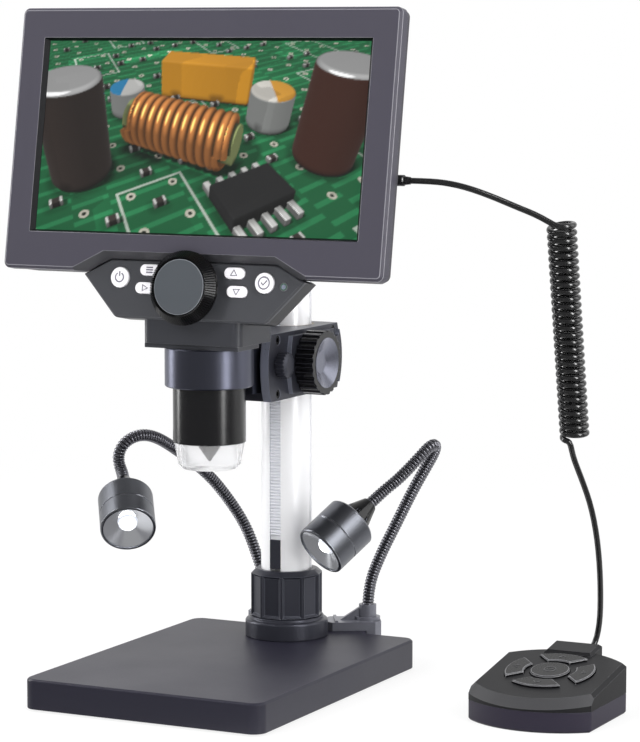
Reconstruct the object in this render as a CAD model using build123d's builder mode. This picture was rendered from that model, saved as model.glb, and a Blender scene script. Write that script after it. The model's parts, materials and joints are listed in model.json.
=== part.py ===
"""Inspection microscope with its own screen, on a rack column, with two clip-on lamps and a wired remote.

Millimetres, +Z up, +X to the right, front towards -Y.  The origin is on the floor, under the
middle of the base's main rectangle.
"""

import os
from math import acos, cos, pi, radians, sin, sqrt, tan

from build123d import *

# ---------------------------------------------------------------- base
base_width = 116.0
base_depth = 156.0
base_height = 14.0
base_corner = 6.0
base_wall = 3.0
base_edge = 0.8
pad_thickness = 0.8
pad_inset = 4.0
base_plate_thickness = 1.5
base_plate_gap = 0.2
tab_radius = 31.0
tab_center_inset = 3.0
boss_radius = 4.5
boss_inset_x = 10.0
boss_inset_y = 26.0
screw_radius = 1.5
screw_head_radius = 2.8
screw_head_height = 0.6
screw_end_gap = 1.0

# ---------------------------------------------------------------- column
column_inset = 18.3
column_radius = 11.7
column_bore = 7.0
column_top = 242.0
column_cap_height = 2.0
column_cap_plug = 6.0
column_cap_edge = 0.6
column_foot = 20.0
groove_width = 5.5
groove_depth = 3.6
side_groove_width = 3.2
side_groove_depth = 0.6
column_bolt_radius = 3.0
column_bolt_head = 5.0
column_bolt_gap = 4.0
flange_radius = 19.1
flange_height = 8.2
flange_edge = 0.8
collar_radius = 17.2
collar_height = 1.4
nut_radius = 16.7
nut_facets = 10
nut_height = 19.4
nut_bevel = 2.5
nut_notch = 0.5
turning_gap = 0.3
guide_gap = 0.05

# ---------------------------------------------------------------- rack and pinion
gear_module = 0.45
pressure_angle = 20.0
pinion_teeth = 30
gear_backlash = 0.08
flank_start = 0.01
flank_steps = 4
rack_width = 5.4
rack_proud = 0.1
rack_top_inset = 6.0
stop_height = 13.4
stop_gap = 1.0

# ---------------------------------------------------------------- carriage
carriage_z = 143.7
carriage_height = 30.0
block_half_width = 14.5
block_reach = 49.7
block_tail = 15.8
plate_thickness = 4.0
plate_front_set = 1.0
plate_back_set = 0.5
plate_bulge = 3.0
land_height = 2.0
land_reach = 32.7
land_inset = 2.0
land_arc = 3.0
bush_wall = 1.3
bush_slot_gap = 2.0
pinion_face = 5.0
pinion_side_gap = 1.0
pinion_tip_gap = 1.0
shaft_radius = 3.0
shaft_bush_wall = 1.5
knob_radius = 14.6
knob_length = 9.0
knob_dish = 11.6
knob_dish_floor = 4.5
knob_dish_depth = 3.5
knob_core = 2.0
knob_flutes = 22
knob_flute_radius = 1.35
knob_flute_offset = 0.6
plate_screw_radius = 1.3
plate_screw_head = 2.1
plate_screw_head_height = 1.6
plate_screw_sink = 0.3
plate_screw_key = 1.1
plate_screw_front = 5.5
plate_screw_back = 5.0
plate_screw_rise = 12.0
plate_screw_grip = 4.0
plate_screw_clear = 0.8
lock_reach = 42.7
lock_rise = 0.8
lock_radius = 5.8
lock_length = 5.2
lock_dome = 1.2
lock_flutes = 20
lock_flute_radius = 0.6
lock_screw_radius = 3.0
lock_screw_length = 9.0
lock_screw_gap = 1.5

# ---------------------------------------------------------------- ring holder and lens tube
optic_reach = 74.0
ring_radius = 19.5
ring_drop = 6.1
ring_height = 17.4
ring_edge = 0.5
lug_half_width = 13.0
lug_drop = 11.0
lug_height = 19.6
tube_radius = 16.0
tube_length = 24.6
tube_wall = 2.5
tube_neck_radius = 11.0
tube_neck_height = 10.0
tube_web = 6.0
tip_length = 11.7
tip_rim = 2.1
tip_rim_width = 1.0
tip_spigot = 5.0
tip_step = 0.5
tip_top_radius = 15.5
tip_low_radius = 13.7
tip_wall = 1.5
carrier_radius = 6.0
carrier_wall = 1.5
carrier_room = 1.0
carrier_neck = 0.8
objective_radius = 5.0

# ---------------------------------------------------------------- neck
neck_half_width = 24.0
neck_front_reach = 17.4
neck_back_reach = 12.0
neck_height = 12.0
neck_corner = 4.0
neck_lip = 2.0
neck_lip_inset = 1.0
neck_lip_back = 9.0
tower_half_width = 13.0
tower_set_back = 6.0
tower_wall = 2.0
tower_height = 29.0
sensor_height = 17.2
sensor_depth = 11.3

# ---------------------------------------------------------------- screen
screen_tilt = 9.81
head_sink = 0.37
head_overhang = 0.88
glass_width = 157.5
glass_height = 84.0
reveal_side = 1.75
reveal_top = 1.0
frame_side = 12.5
frame_top = 13.4
frame_low = 16.6
bezel_corner = 3.0
bezel_depth = 6.0
bezel_edge = 1.3
bezel_wall = 5.0
bezel_skin = 2.4
panel_margin = 4.0
lcd_depth = 4.0
back_inset = 0.5
back_straight = 3.0
back_shoulder = 5.0
back_shoulder_depth = 8.0
back_taper = 12.0
back_taper_depth = 7.0
back_wall = 2.0
back_screw_inset_x = 22.0
back_screw_inset_y = 20.0
back_screw_sink = 3.0
back_screw_head = 2.0
recess_depth = 5.5
recess_flare = 3.0
recess_low_flare = 2.0
notch_depth = 8.0
notch_rise = 6.0
control_top_half = 40.8
control_wide_drop = 1.0
control_wide_half = 54.3
control_reach = 19.5
control_low_half = 37.0
control_corner = 4.0
control_plate = 2.5
control_edge = 0.8
control_wall = 2.0
fit_gap = 0.3
board_thickness = 1.6
main_board_width = 120.0
main_board_height = 64.0
main_board_drop = 4.0
battery_width = 60.0
battery_height = 40.0
battery_depth = 5.0
battery_edge = 1.0

# ---------------------------------------------------------------- focusing dial and buttons
dial_below = 6.0
dial_hub_radius = 10.8
dial_hub = 5.3
dial_flange_radius = 16.2
dial_flange = 1.0
dial_low_radius = 15.7
dial_face_radius = 11.3
dial_cone = 4.3
dial_lift = 0.5
dial_shaft_radius = 2.5
crank_radius = 5.0
crank_throw = 3.0
crank_pin_radius = 1.0
crank_thickness = 2.5
crank_pin_length = 2.5
focus_turn = 35.0
carrier_shelf = 2.0
slot_plate_width = 10.0
slot_plate_thickness = 1.2
slot_clearance = 1.1
slot_rim = 1.5
slot_offset = 0.4
carrier_nose = 3.5
objective_gap = 1.5
objective_thickness = 2.0
button_rise = 1.0
button_gap = 0.3
button_travel = 0.8
button_edge = 0.6
button_collar = 0.9
button_collar_depth = 1.2
switch_radius = 1.6
switch_height = 0.8
switch_gap = 0.1
round_button = 4.5
round_button_x = 35.5
round_button_rise = 4.0
pill_length = 9.8
pill_height = 5.0
upper_pill_x = 20.7
upper_pill_rise = 7.7
lower_pill_x = 22.5
lower_pill_drop = 0.2
indicator_radius = 1.6
indicator_x = 44.7
indicator_rise = 2.7
indicator_gap = 0.1
indicator_dome = 0.3

# ---------------------------------------------------------------- lamps
clip_angle = 30.0
clip_thickness = 4.0
clip_width = 16.0
clip_corner = 3.0
clip_taper = 5.0
clip_tongue = 22.0
clip_back = 6.0
clip_jaw = 11.0
clip_jaw_rise = 1.2
clip_jaw_thickness = 2.0
clip_jaw_room = 2.4
clip_wall_bite = 2.0
clip_side_gap = 0.5
clip_seat_gap = 0.05
clip_bar = 1.4
clip_bar_place = 7.0
clip_bar_height = 0.8
rib_reach = 9.0
rib_thickness = 2.4
socket_radius = 4.1
socket_step = 1.8
socket_step_height = 1.5
socket_top = 25.3
arm_radius = 2.5
lamp_radius = 12.5
lamp_length = 22.0
lamp_wall = 1.3
lamp_front_edge = 0.5
lamp_back_edge = 0.8
lamp_recess = 4.0
lamp_light_depth = 3.0
lamp_seam_share = 0.45
lamp_seam_width = 0.5
lamp_seam_depth = 0.35
lamp_led_radius = 3.4
lamp_led_height = 1.2
lamp_neck_length = 12.0
lamp_neck_radius = 8.25
lamp_neck_end = 3.6
lamp_neck_slots = 8
lamp_neck_slot_width = 1.2
lamp_neck_slot_depth = 1.7
lamp_neck_slot_end = 3.0
arm_grip = 4.0

# ---------------------------------------------------------------- remote
remote_x = 150.0
remote_width = 56.0
remote_front_y = -9.0
remote_back_y = 32.0
remote_nose = 11.0
remote_tail = 10.0
remote_hump = 5.0
remote_hump_front = 8.0
remote_hump_half = 11.0
remote_hump_rise = 1.6
remote_hump_edge = 1.2
remote_split = 9.0
remote_front_height = 13.5
remote_slope = 9.5
remote_wall = 2.0
remote_brow = 3.6
remote_edge = 1.6
remote_foot_edge = 1.0
pad_y = 14.0
pad_outer = 19.5
pad_inner = 11.2
pad_split = 7.0
pad_center = 8.6
pad_collar = 0.8
pad_edge = 0.4
pad_center_edge = 0.5
remote_button_rise = 1.2

# ---------------------------------------------------------------- cord
cord_diameter = 2.6
curl_diameter = 13.0
plug_radius = 2.4
plug_tail = 3.0
plug_edge = 0.4
plug_relief = 2.5
plug_relief_step = 0.5
cord_sleeve = 0.3
curl_top = (154.8, 10.0, 214.0)
curl_bottom = (154.2, 30.0, 116.0)

# ---------------------------------------------------------------- places that follow from the sizes
base_bottom = pad_thickness
tab_y = base_depth / 2 - tab_center_inset
column_y = base_depth / 2 - column_inset
flange_top = base_height + flange_height
collar_top = flange_top + collar_height
nut_bottom = collar_top + turning_gap
nut_top = collar_top + nut_height + nut_bevel
rack_tip_y = column_y - column_radius - rack_proud
rack_bottom = nut_top + stop_gap + stop_height
block_front_y = column_y - block_reach
block_back_y = column_y + block_tail
land_front_y = column_y - land_reach
lock_y = column_y - lock_reach
lock_z = carriage_z + lock_rise
optic_y = column_y - optic_reach
ring_bottom = carriage_z - ring_drop
lug_bottom = carriage_z - lug_drop
tube_bottom = ring_bottom - tube_length
tube_shoulder = ring_bottom + ring_height
tube_top = tube_shoulder + tube_neck_height
tip_bottom = tube_bottom - tip_length
tip_knuckle = tip_bottom + tip_rim
neck_front_y = optic_y - neck_front_reach
neck_back_y = optic_y + neck_back_reach
neck_bottom = tube_shoulder + neck_lip
neck_top = neck_bottom + neck_height
tower_top = neck_top + tower_height
sensor_z = neck_top + sensor_height
window_width = glass_width + 2 * reveal_side
window_height = glass_height + 2 * reveal_top
window_rise = (frame_low - frame_top) / 2
bezel_width = window_width + 2 * frame_side
bezel_height = window_height + frame_top + frame_low
back_width = bezel_width - 2 * back_inset
back_height = bezel_height - 2 * back_inset
control_depth = bezel_depth + back_straight + back_shoulder_depth
back_face = control_depth + back_taper_depth
control_top = bezel_height / 2 - notch_rise
control_wide = bezel_height / 2 + control_wide_drop
control_low = bezel_height / 2 + control_reach
dial_drop = bezel_height / 2 + dial_below
tilt_sin = sin(radians(screen_tilt))
tilt_cos = cos(radians(screen_tilt))
screen_y = neck_front_y + control_low * tilt_sin - recess_depth * tilt_cos - head_overhang
screen_z = neck_top + control_low * tilt_cos - head_sink

os.makedirs("parts", exist_ok=True)
pieces = []


def keep(piece, name):
    """Label a finished piece and put it on the list to be written."""
    piece.part.label = name
    pieces.append(piece)


def rounded_path(points):
    """Straight runs joined by tangent arcs, each as large as its two runs allow."""
    vectors = [Vector(*point) for point in points]
    radii = []
    for before, at, after in zip(vectors, vectors[1:], vectors[2:]):
        turn = radians((at - before).get_angle(after - at))
        shorter = min((at - before).length, (after - at).length)
        radii.append(0.45 * shorter / tan(turn / 2))
    return FilletPolyline(*points, radius=radii), radii


# ================================================================ base
with BuildSketch() as base_outline:
    Rectangle(base_width, base_depth)
    with Locations((0, tab_y)):
        Circle(tab_radius)
    fillet(base_outline.vertices().group_by(Axis.X)[0], base_corner)
    fillet(base_outline.vertices().group_by(Axis.X)[-1], base_corner)

plate_margin = 2 * (base_wall + base_plate_gap)
boss_x = base_width / 2 - boss_inset_x
boss_y = base_depth / 2 - boss_inset_y
boss_spots = [(sx * boss_x, sy * boss_y) for sx in (-1, 1) for sy in (-1, 1)]
jaw_slot_top = base_bottom + clip_jaw_thickness + clip_jaw_room

with BuildPart() as base_shell:
    with BuildSketch(Plane.XY.offset(base_bottom)):
        add(base_outline.sketch)
    extrude(amount=base_height - base_bottom)
    chamfer(base_shell.edges().group_by(Axis.Z)[-1], base_edge)
    with BuildSketch(Plane.XY.offset(base_bottom)):
        offset(base_outline.sketch, amount=-base_wall)
    extrude(amount=base_height - base_wall - base_bottom, mode=Mode.SUBTRACT)
    with BuildSketch(Plane.XY.offset(base_bottom + base_plate_thickness)):
        with Locations(*boss_spots):
            Circle(boss_radius)
    extrude(amount=base_height - base_wall - base_bottom - base_plate_thickness)
    with BuildSketch(Plane.XY.offset(base_bottom)):
        with Locations(*boss_spots):
            Circle(screw_radius)
    extrude(amount=base_height - base_wall - base_bottom, mode=Mode.SUBTRACT)
    with BuildSketch():
        with Locations((0, column_y)):
            Circle(column_bolt_radius)
    extrude(amount=base_height, mode=Mode.SUBTRACT)
    for angle in (clip_angle, 180 - clip_angle):
        clip_aim = (cos(radians(angle)), sin(radians(angle)), 0)
        clip_plane = Plane(origin=(0, tab_y, base_bottom), x_dir=clip_aim)
        with BuildSketch(clip_plane):
            with Locations((tab_radius, 0)):
                Rectangle(4 * base_wall, clip_width + 2 * clip_side_gap)
        extrude(amount=jaw_slot_top - base_bottom, mode=Mode.SUBTRACT)
keep(base_shell, "base_shell")

with BuildPart() as base_plate:
    with BuildSketch(Plane.XY.offset(base_bottom)):
        Rectangle(base_width - plate_margin, base_depth - plate_margin)
        with Locations(*boss_spots):
            Circle(screw_radius, mode=Mode.SUBTRACT)
    extrude(amount=base_plate_thickness)
    fillet(base_plate.edges().filter_by(Axis.Z).group_by(SortBy.LENGTH)[-1], base_corner - base_wall)
keep(base_plate, "base_plate")

with BuildPart() as base_pad:
    with BuildSketch() as pad_outline:
        Rectangle(base_width - 2 * pad_inset, base_depth - 2 * pad_inset)
        fillet(pad_outline.vertices(), base_corner - base_wall)
        with Locations(*boss_spots):
            Circle(screw_head_radius + fit_gap, mode=Mode.SUBTRACT)
    extrude(amount=pad_thickness)
keep(base_pad, "base_pad")

bolt_head_z = base_height - base_wall
with BuildPart() as base_screws:
    with BuildSketch(Plane.XY.offset(base_bottom - screw_head_height)):
        with Locations(*boss_spots):
            Circle(screw_head_radius)
    extrude(amount=screw_head_height)
    with BuildSketch(Plane.XY.offset(base_bottom)):
        with Locations(*boss_spots):
            Circle(screw_radius)
    extrude(amount=base_height - base_wall - base_bottom - screw_end_gap)
    with BuildSketch(Plane.XY.offset(bolt_head_z - column_bolt_head)):
        with Locations((0, column_y)):
            Circle(2 * column_bolt_radius)
    extrude(amount=column_bolt_head)
    with BuildSketch(Plane.XY.offset(bolt_head_z)):
        with Locations((0, column_y)):
            Circle(column_bolt_radius)
    extrude(amount=base_wall + column_foot - column_bolt_gap)
keep(base_screws, "base_screws")

# ================================================================ column
column_axis = Plane(origin=(0, column_y, 0))

with BuildPart() as column_flange:
    with BuildSketch(column_axis.offset(base_height)):
        Circle(flange_radius)
        Circle(column_radius, mode=Mode.SUBTRACT)
    extrude(amount=flange_height)
    chamfer(column_flange.edges().group_by(Axis.Z)[-1].sort_by(SortBy.RADIUS)[-1], flange_edge)
    with BuildSketch(column_axis.offset(flange_top)):
        Circle(collar_radius)
        Circle(column_radius, mode=Mode.SUBTRACT)
    extrude(amount=collar_height)
keep(column_flange, "column_flange")

groove_cut = 2 * groove_depth
with BuildPart() as column_tube:
    with BuildSketch(column_axis.offset(base_height)):
        Circle(column_radius)
        with Locations((0, -column_radius)):
            Rectangle(groove_width, groove_cut, mode=Mode.SUBTRACT)
        with Locations((-column_radius, 0), (column_radius, 0)):
            Rectangle(2 * side_groove_depth, side_groove_width, mode=Mode.SUBTRACT)
    extrude(amount=column_top - column_cap_height - base_height)
    with BuildSketch(column_axis.offset(base_height + column_foot)):
        Circle(column_bore)
    extrude(amount=column_top, mode=Mode.SUBTRACT)
    with BuildSketch(column_axis.offset(base_height)):
        Circle(column_bolt_radius)
    extrude(amount=column_foot, mode=Mode.SUBTRACT)
keep(column_tube, "column_tube")

with BuildPart() as column_cap:
    with BuildSketch(column_axis.offset(column_top - column_cap_height)):
        Circle(column_radius)
    extrude(amount=column_cap_height)
    chamfer(column_cap.edges().group_by(Axis.Z)[-1], column_cap_edge)
    with BuildSketch(column_axis.offset(column_top - column_cap_height - column_cap_plug)):
        Circle(column_bore)
    extrude(amount=column_cap_plug)
keep(column_cap, "column_cap")

with BuildPart() as column_nut:
    with BuildSketch(column_axis.offset(nut_bottom)):
        RegularPolygon(nut_radius, nut_facets)
    extrude(amount=nut_height)
    with BuildSketch(column_axis.offset(nut_bottom + nut_height)):
        RegularPolygon(nut_radius, nut_facets)
    with BuildSketch(column_axis.offset(nut_top)):
        RegularPolygon(nut_radius - nut_bevel, nut_facets)
    loft()
    with BuildSketch(column_axis.offset(nut_bottom)):
        Circle(column_radius + turning_gap)
    extrude(amount=nut_top - nut_bottom, mode=Mode.SUBTRACT)
    with BuildSketch(column_axis.offset(nut_bottom)):
        with PolarLocations(nut_radius, nut_facets):
            Circle(nut_notch)
    extrude(amount=nut_height, mode=Mode.SUBTRACT)
keep(column_nut, "column_nut")

# ---------------------------------------------------------------- rack, its stop and the pinion
pitch = pi * gear_module
addendum = gear_module
dedendum = 1.25 * gear_module
pinion_pitch_radius = gear_module * pinion_teeth / 2
rack_pitch_y = rack_tip_y + addendum
rack_back_y = column_y - column_radius + groove_depth
pinion_y = rack_pitch_y - pinion_pitch_radius
rack_top = column_top - rack_top_inset


def rack_tooth(center_z):
    """The four corners of one straight-sided tooth, from its lower root to its upper root."""
    slope = tan(radians(pressure_angle))
    half_pitch = pitch / 4 - gear_backlash / 2
    tip = half_pitch - addendum * slope
    root = half_pitch + dedendum * slope
    root_y = rack_pitch_y + dedendum
    return [(root_y, center_z - root), (rack_tip_y, center_z - tip),
            (rack_tip_y, center_z + tip), (root_y, center_z + root)]


first_tooth = -int((carriage_z - rack_bottom) / pitch - 1)
last_tooth = int((rack_top - carriage_z) / pitch - 1)
rack_profile = [(rack_pitch_y + dedendum, rack_bottom)]
for number in range(first_tooth, last_tooth):
    rack_profile += rack_tooth(carriage_z + (number + 0.5) * pitch)
rack_profile.append((rack_pitch_y + dedendum, rack_top))
rack_profile += [(rack_back_y, rack_top), (rack_back_y, rack_bottom)]

with BuildPart() as column_rack:
    with BuildSketch(Plane.YZ.offset(-rack_width / 2)):
        with BuildLine():
            Polyline(*rack_profile, close=True)
        make_face()
    extrude(amount=rack_width)
keep(column_rack, "column_rack")

with BuildPart() as rack_stop:
    with BuildSketch(Plane.YZ.offset(-rack_width / 2)):
        with BuildLine():
            Polyline((rack_tip_y, rack_bottom), (rack_tip_y, rack_bottom - stop_height),
                     (rack_back_y, rack_bottom - stop_height), (rack_back_y, rack_bottom), close=True)
        make_face()
    extrude(amount=rack_width)
keep(rack_stop, "rack_stop")


def involute_profile():
    """Outline of the pinion in its own plane, one tooth pointing along the second axis."""
    base_circle = pinion_pitch_radius * cos(radians(pressure_angle))
    tip_circle = pinion_pitch_radius + addendum
    root_circle = pinion_pitch_radius - dedendum
    involute = tan(radians(pressure_angle)) - radians(pressure_angle)
    half_tooth = (pitch / 2 - gear_backlash) / (2 * pinion_pitch_radius)

    def half_angle(radius):
        angle = acos(base_circle / radius)
        return half_tooth + involute - (tan(angle) - angle)

    start = base_circle + flank_start
    radii = [start + (tip_circle - start) * step / flank_steps for step in range(flank_steps + 1)]
    flank = [(root_circle, half_angle(start))] + [(r, half_angle(r)) for r in radii]
    points = []
    for tooth in range(pinion_teeth):
        middle = pi / 2 + 2 * pi * tooth / pinion_teeth
        points += [(r * cos(middle - a), r * sin(middle - a)) for r, a in flank]
        points += [(r * cos(middle + a), r * sin(middle + a)) for r, a in reversed(flank)]
    return points


plate_outer = block_half_width + plate_thickness
land_outer = plate_outer + land_height
knob_inner = land_outer + turning_gap
knob_outer = knob_inner + knob_length
shaft_end = knob_outer - knob_dish_depth - knob_core
pinion_plane = Plane(origin=(0, pinion_y, carriage_z), x_dir=(0, 0, 1), z_dir=(1, 0, 0))

with BuildPart() as pinion_shaft:
    with BuildSketch(pinion_plane.offset(-pinion_face / 2)):
        with BuildLine():
            Polyline(*[(-x, -y) for x, y in involute_profile()], close=True)
        make_face()
    extrude(amount=pinion_face)
    with BuildSketch(pinion_plane.offset(-shaft_end)):
        Circle(shaft_radius)
    extrude(amount=2 * shaft_end)
keep(pinion_shaft, "pinion_shaft")


def focus_knob(side):
    """Fluted grip with a dished end, pushed on the shaft on one side of the carriage."""
    face = pinion_plane.offset(side * knob_inner)
    outer = pinion_plane.offset(side * knob_outer)
    with BuildPart() as knob:
        with BuildSketch(face):
            Circle(knob_radius)
            with PolarLocations(knob_radius + knob_flute_offset, knob_flutes):
                Circle(knob_flute_radius, mode=Mode.SUBTRACT)
        extrude(amount=side * knob_length)
        with BuildSketch(outer):
            Circle(knob_dish)
        with BuildSketch(outer.offset(-side * knob_dish_depth)):
            Circle(knob_dish_floor)
        loft(mode=Mode.SUBTRACT)
        with BuildSketch(face):
            Circle(shaft_radius)
        extrude(amount=side * (shaft_end - knob_inner), mode=Mode.SUBTRACT)
    return knob


focus_knob_right = focus_knob(1)
keep(focus_knob_right, "focus_knob_right")
focus_knob_left = focus_knob(-1)
keep(focus_knob_left, "focus_knob_left")

# ================================================================ carriage
carriage_bottom = carriage_z - carriage_height / 2
carriage_top = carriage_z + carriage_height / 2
bush_outer = column_radius + guide_gap + bush_wall
bush_inner = column_radius + guide_gap
shaft_bush_inner = shaft_radius + guide_gap
shaft_bush_outer = shaft_bush_inner + shaft_bush_wall
pinion_room = pinion_pitch_radius + addendum + pinion_tip_gap
pinion_half_room = pinion_face / 2 + pinion_side_gap
plate_screw_front_y = block_front_y + plate_screw_front
plate_screw_back_y = block_back_y - plate_screw_back
back_screw_pair = [(plate_screw_back_y, carriage_z + sz * plate_screw_rise) for sz in (-1, 1)]
front_screw_pair = [(plate_screw_front_y, carriage_z + sz * plate_screw_rise) for sz in (-1, 1)]
plate_screw_spots = front_screw_pair + back_screw_pair
plate_screw_seat = plate_outer - plate_screw_head_height - plate_screw_sink

with BuildPart() as carriage_block:
    with BuildSketch(Plane.XY.offset(carriage_bottom)):
        with BuildLine():
            Polyline((-block_half_width, block_front_y), (block_half_width, block_front_y),
                     (block_half_width, block_back_y), (-block_half_width, block_back_y), close=True)
        make_face()
        with Locations((0, column_y)):
            Circle(bush_outer, mode=Mode.SUBTRACT)
    extrude(amount=carriage_height)
    with BuildSketch(pinion_plane.offset(-pinion_half_room)):
        Circle(pinion_room)
    extrude(amount=2 * pinion_half_room, mode=Mode.SUBTRACT)
    with BuildSketch(pinion_plane.offset(-block_half_width)):
        Circle(shaft_bush_outer)
    extrude(amount=2 * block_half_width, mode=Mode.SUBTRACT)
    with BuildSketch(Plane.YZ.offset(block_half_width - lock_screw_length)):
        with Locations((lock_y, lock_z)):
            Circle(lock_screw_radius + guide_gap)
    extrude(amount=lock_screw_length, mode=Mode.SUBTRACT)
    for side in (-1, 1):
        with BuildSketch(Plane.YZ.offset(side * block_half_width)):
            with Locations(*plate_screw_spots):
                Circle(plate_screw_radius)
        extrude(amount=-side * (plate_screw_grip + screw_end_gap), mode=Mode.SUBTRACT)
keep(carriage_block, "carriage_block")


def plate_outline(grow):
    """Closed outline of a side plate in (y, z), bowed at front and rear, moved out by grow."""
    low = carriage_bottom - grow
    high = carriage_top + grow
    front = block_front_y - plate_front_set - grow
    back = block_back_y - plate_back_set + grow
    with BuildSketch(mode=Mode.PRIVATE) as outline:
        with BuildLine():
            Line((front, low), (back, low))
            ThreePointArc((back, low), (back + plate_bulge, carriage_z), (back, high))
            Line((back, high), (front, high))
            ThreePointArc((front, high), (front - plate_bulge, carriage_z), (front, low))
        make_face()
    return outline.sketch


def side_plate(side):
    """Bowed plate with a raised land round the focusing knob."""
    inner = Plane.YZ.offset(side * block_half_width)
    middle = Plane.YZ.offset(side * plate_outer)
    clear_y = block_front_y - 2 * plate_bulge - plate_front_set
    with BuildPart() as plate:
        with BuildSketch(inner):
            add(plate_outline(0))
        extrude(amount=side * plate_thickness)
        with BuildSketch(middle):
            add(plate_outline(-land_inset))
            with BuildLine():
                Line((clear_y, carriage_bottom), (land_front_y, carriage_bottom))
                ThreePointArc((land_front_y, carriage_bottom), (land_front_y - land_arc, carriage_z),
                              (land_front_y, carriage_top))
                Polyline((land_front_y, carriage_top), (clear_y, carriage_top), (clear_y, carriage_bottom))
            make_face(mode=Mode.SUBTRACT)
            with Locations(*back_screw_pair):
                Circle(plate_screw_head + plate_screw_clear, mode=Mode.SUBTRACT)
        extrude(amount=side * land_height)
        with BuildSketch(inner):
            with Locations((pinion_y, carriage_z)):
                Circle(shaft_bush_outer)
            if side > 0:
                with Locations((lock_y, lock_z)):
                    Circle(lock_screw_radius + turning_gap)
            with Locations(*plate_screw_spots):
                Circle(plate_screw_radius)
        extrude(amount=side * (plate_thickness + land_height), mode=Mode.SUBTRACT)
        with BuildSketch(Plane.YZ.offset(side * plate_screw_seat)):
            with Locations(*plate_screw_spots):
                Circle(plate_screw_head + guide_gap)
        extrude(amount=side * plate_thickness, mode=Mode.SUBTRACT)
    return plate


side_plate_right = side_plate(1)
keep(side_plate_right, "side_plate_right")
side_plate_left = side_plate(-1)
keep(side_plate_left, "side_plate_left")

with BuildPart() as carriage_screws:
    for side in (-1, 1):
        with BuildSketch(Plane.YZ.offset(side * (block_half_width - plate_screw_grip))):
            with Locations(*plate_screw_spots):
                Circle(plate_screw_radius)
        extrude(amount=side * (plate_screw_seat - block_half_width + plate_screw_grip))
        with BuildSketch(Plane.YZ.offset(side * plate_screw_seat)):
            with Locations(*plate_screw_spots):
                Circle(plate_screw_head)
                RegularPolygon(plate_screw_key, 6, mode=Mode.SUBTRACT)
        extrude(amount=side * plate_screw_head_height)
keep(carriage_screws, "carriage_screws")

with BuildPart() as carriage_bushes:
    with BuildSketch(column_axis.offset(carriage_bottom)):
        Circle(bush_outer)
        Circle(bush_inner, mode=Mode.SUBTRACT)
        with Locations((0, -column_radius)):
            Rectangle(rack_width + 2 * bush_slot_gap, column_radius, mode=Mode.SUBTRACT)
    extrude(amount=carriage_height)
    for side in (-1, 1):
        with BuildSketch(pinion_plane.offset(side * pinion_half_room)):
            Circle(shaft_bush_outer)
            Circle(shaft_bush_inner, mode=Mode.SUBTRACT)
        extrude(amount=side * (land_outer - pinion_half_room))
    with BuildSketch(pinion_plane.offset(-pinion_half_room)):
        Circle(pinion_room)
    extrude(amount=2 * pinion_half_room, mode=Mode.SUBTRACT)
keep(carriage_bushes, "carriage_bushes")

lock_plane = Plane(origin=(plate_outer, lock_y, lock_z), x_dir=(0, 1, 0), z_dir=(1, 0, 0))
with BuildPart() as lock_knob:
    with BuildSketch(lock_plane.offset(turning_gap)):
        Circle(lock_radius)
    extrude(amount=lock_length)
    chamfer(lock_knob.edges().group_by(Axis.X)[-1], lock_dome, 2 * lock_dome)
    with BuildSketch(lock_plane.offset(turning_gap)):
        with PolarLocations(lock_radius, lock_flutes):
            Circle(lock_flute_radius)
    extrude(amount=lock_length, mode=Mode.SUBTRACT)
    with BuildSketch(lock_plane.offset(turning_gap)):
        Circle(lock_screw_radius)
    extrude(amount=-(plate_thickness + turning_gap + lock_screw_length - lock_screw_gap))
keep(lock_knob, "lock_knob")

# ---------------------------------------------------------------- ring holder, tube and tip
optic_axis = Plane(origin=(0, optic_y, 0))

with BuildPart() as ring_holder:
    with BuildSketch(optic_axis.offset(ring_bottom)):
        Circle(ring_radius)
    extrude(amount=ring_height)
    chamfer(ring_holder.edges().group_by(Axis.Z)[-1], ring_edge)
    chamfer(ring_holder.edges().group_by(Axis.Z)[0], ring_edge)
    with BuildSketch(Plane.XY.offset(lug_bottom)):
        with Locations((0, (block_front_y + optic_y + tube_radius) / 2)):
            Rectangle(2 * lug_half_width, block_front_y - optic_y - tube_radius)
    extrude(amount=lug_height)
    with BuildSketch(optic_axis.offset(lug_bottom)):
        Circle(tube_radius)
    extrude(amount=ring_height + ring_bottom - lug_bottom, mode=Mode.SUBTRACT)
keep(ring_holder, "ring_holder")

with BuildPart() as lens_tube:
    with BuildSketch(optic_axis.offset(tube_bottom)):
        Circle(tube_radius)
    extrude(amount=tube_shoulder - tube_bottom)
    with BuildSketch(optic_axis.offset(tube_shoulder)):
        Circle(tube_neck_radius)
    extrude(amount=tube_neck_height)
    with BuildSketch(optic_axis.offset(tube_bottom)):
        Circle(tube_radius - tube_wall)
    extrude(amount=tube_shoulder - tube_web - tube_bottom, mode=Mode.SUBTRACT)
    with BuildSketch(optic_axis.offset(tube_bottom)):
        Circle(carrier_radius + guide_gap)
    extrude(amount=tube_top - tube_bottom, mode=Mode.SUBTRACT)
keep(lens_tube, "lens_tube")

tip_inner = tube_radius - tube_wall
tip_mouth = tip_low_radius - tip_rim
with BuildPart() as diffuser_tip:
    with BuildSketch(Plane.XZ.offset(-optic_y)):
        with BuildLine():
            Polyline(
                (tip_inner, tube_bottom + tip_spigot), (tip_inner, tube_bottom),
                (tip_top_radius, tube_bottom),
                (tip_low_radius, tip_knuckle), (tip_mouth, tip_bottom),
                (tip_mouth - tip_rim_width, tip_bottom), (tip_low_radius - tip_wall, tip_knuckle),
                (tip_inner - tip_wall, tube_bottom + tip_step),
                (tip_inner - tip_wall, tube_bottom + tip_spigot),
                close=True)
        make_face()
    revolve(axis=Axis((0, optic_y, 0), (0, 0, 1)))
keep(diffuser_tip, "diffuser_tip")

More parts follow.
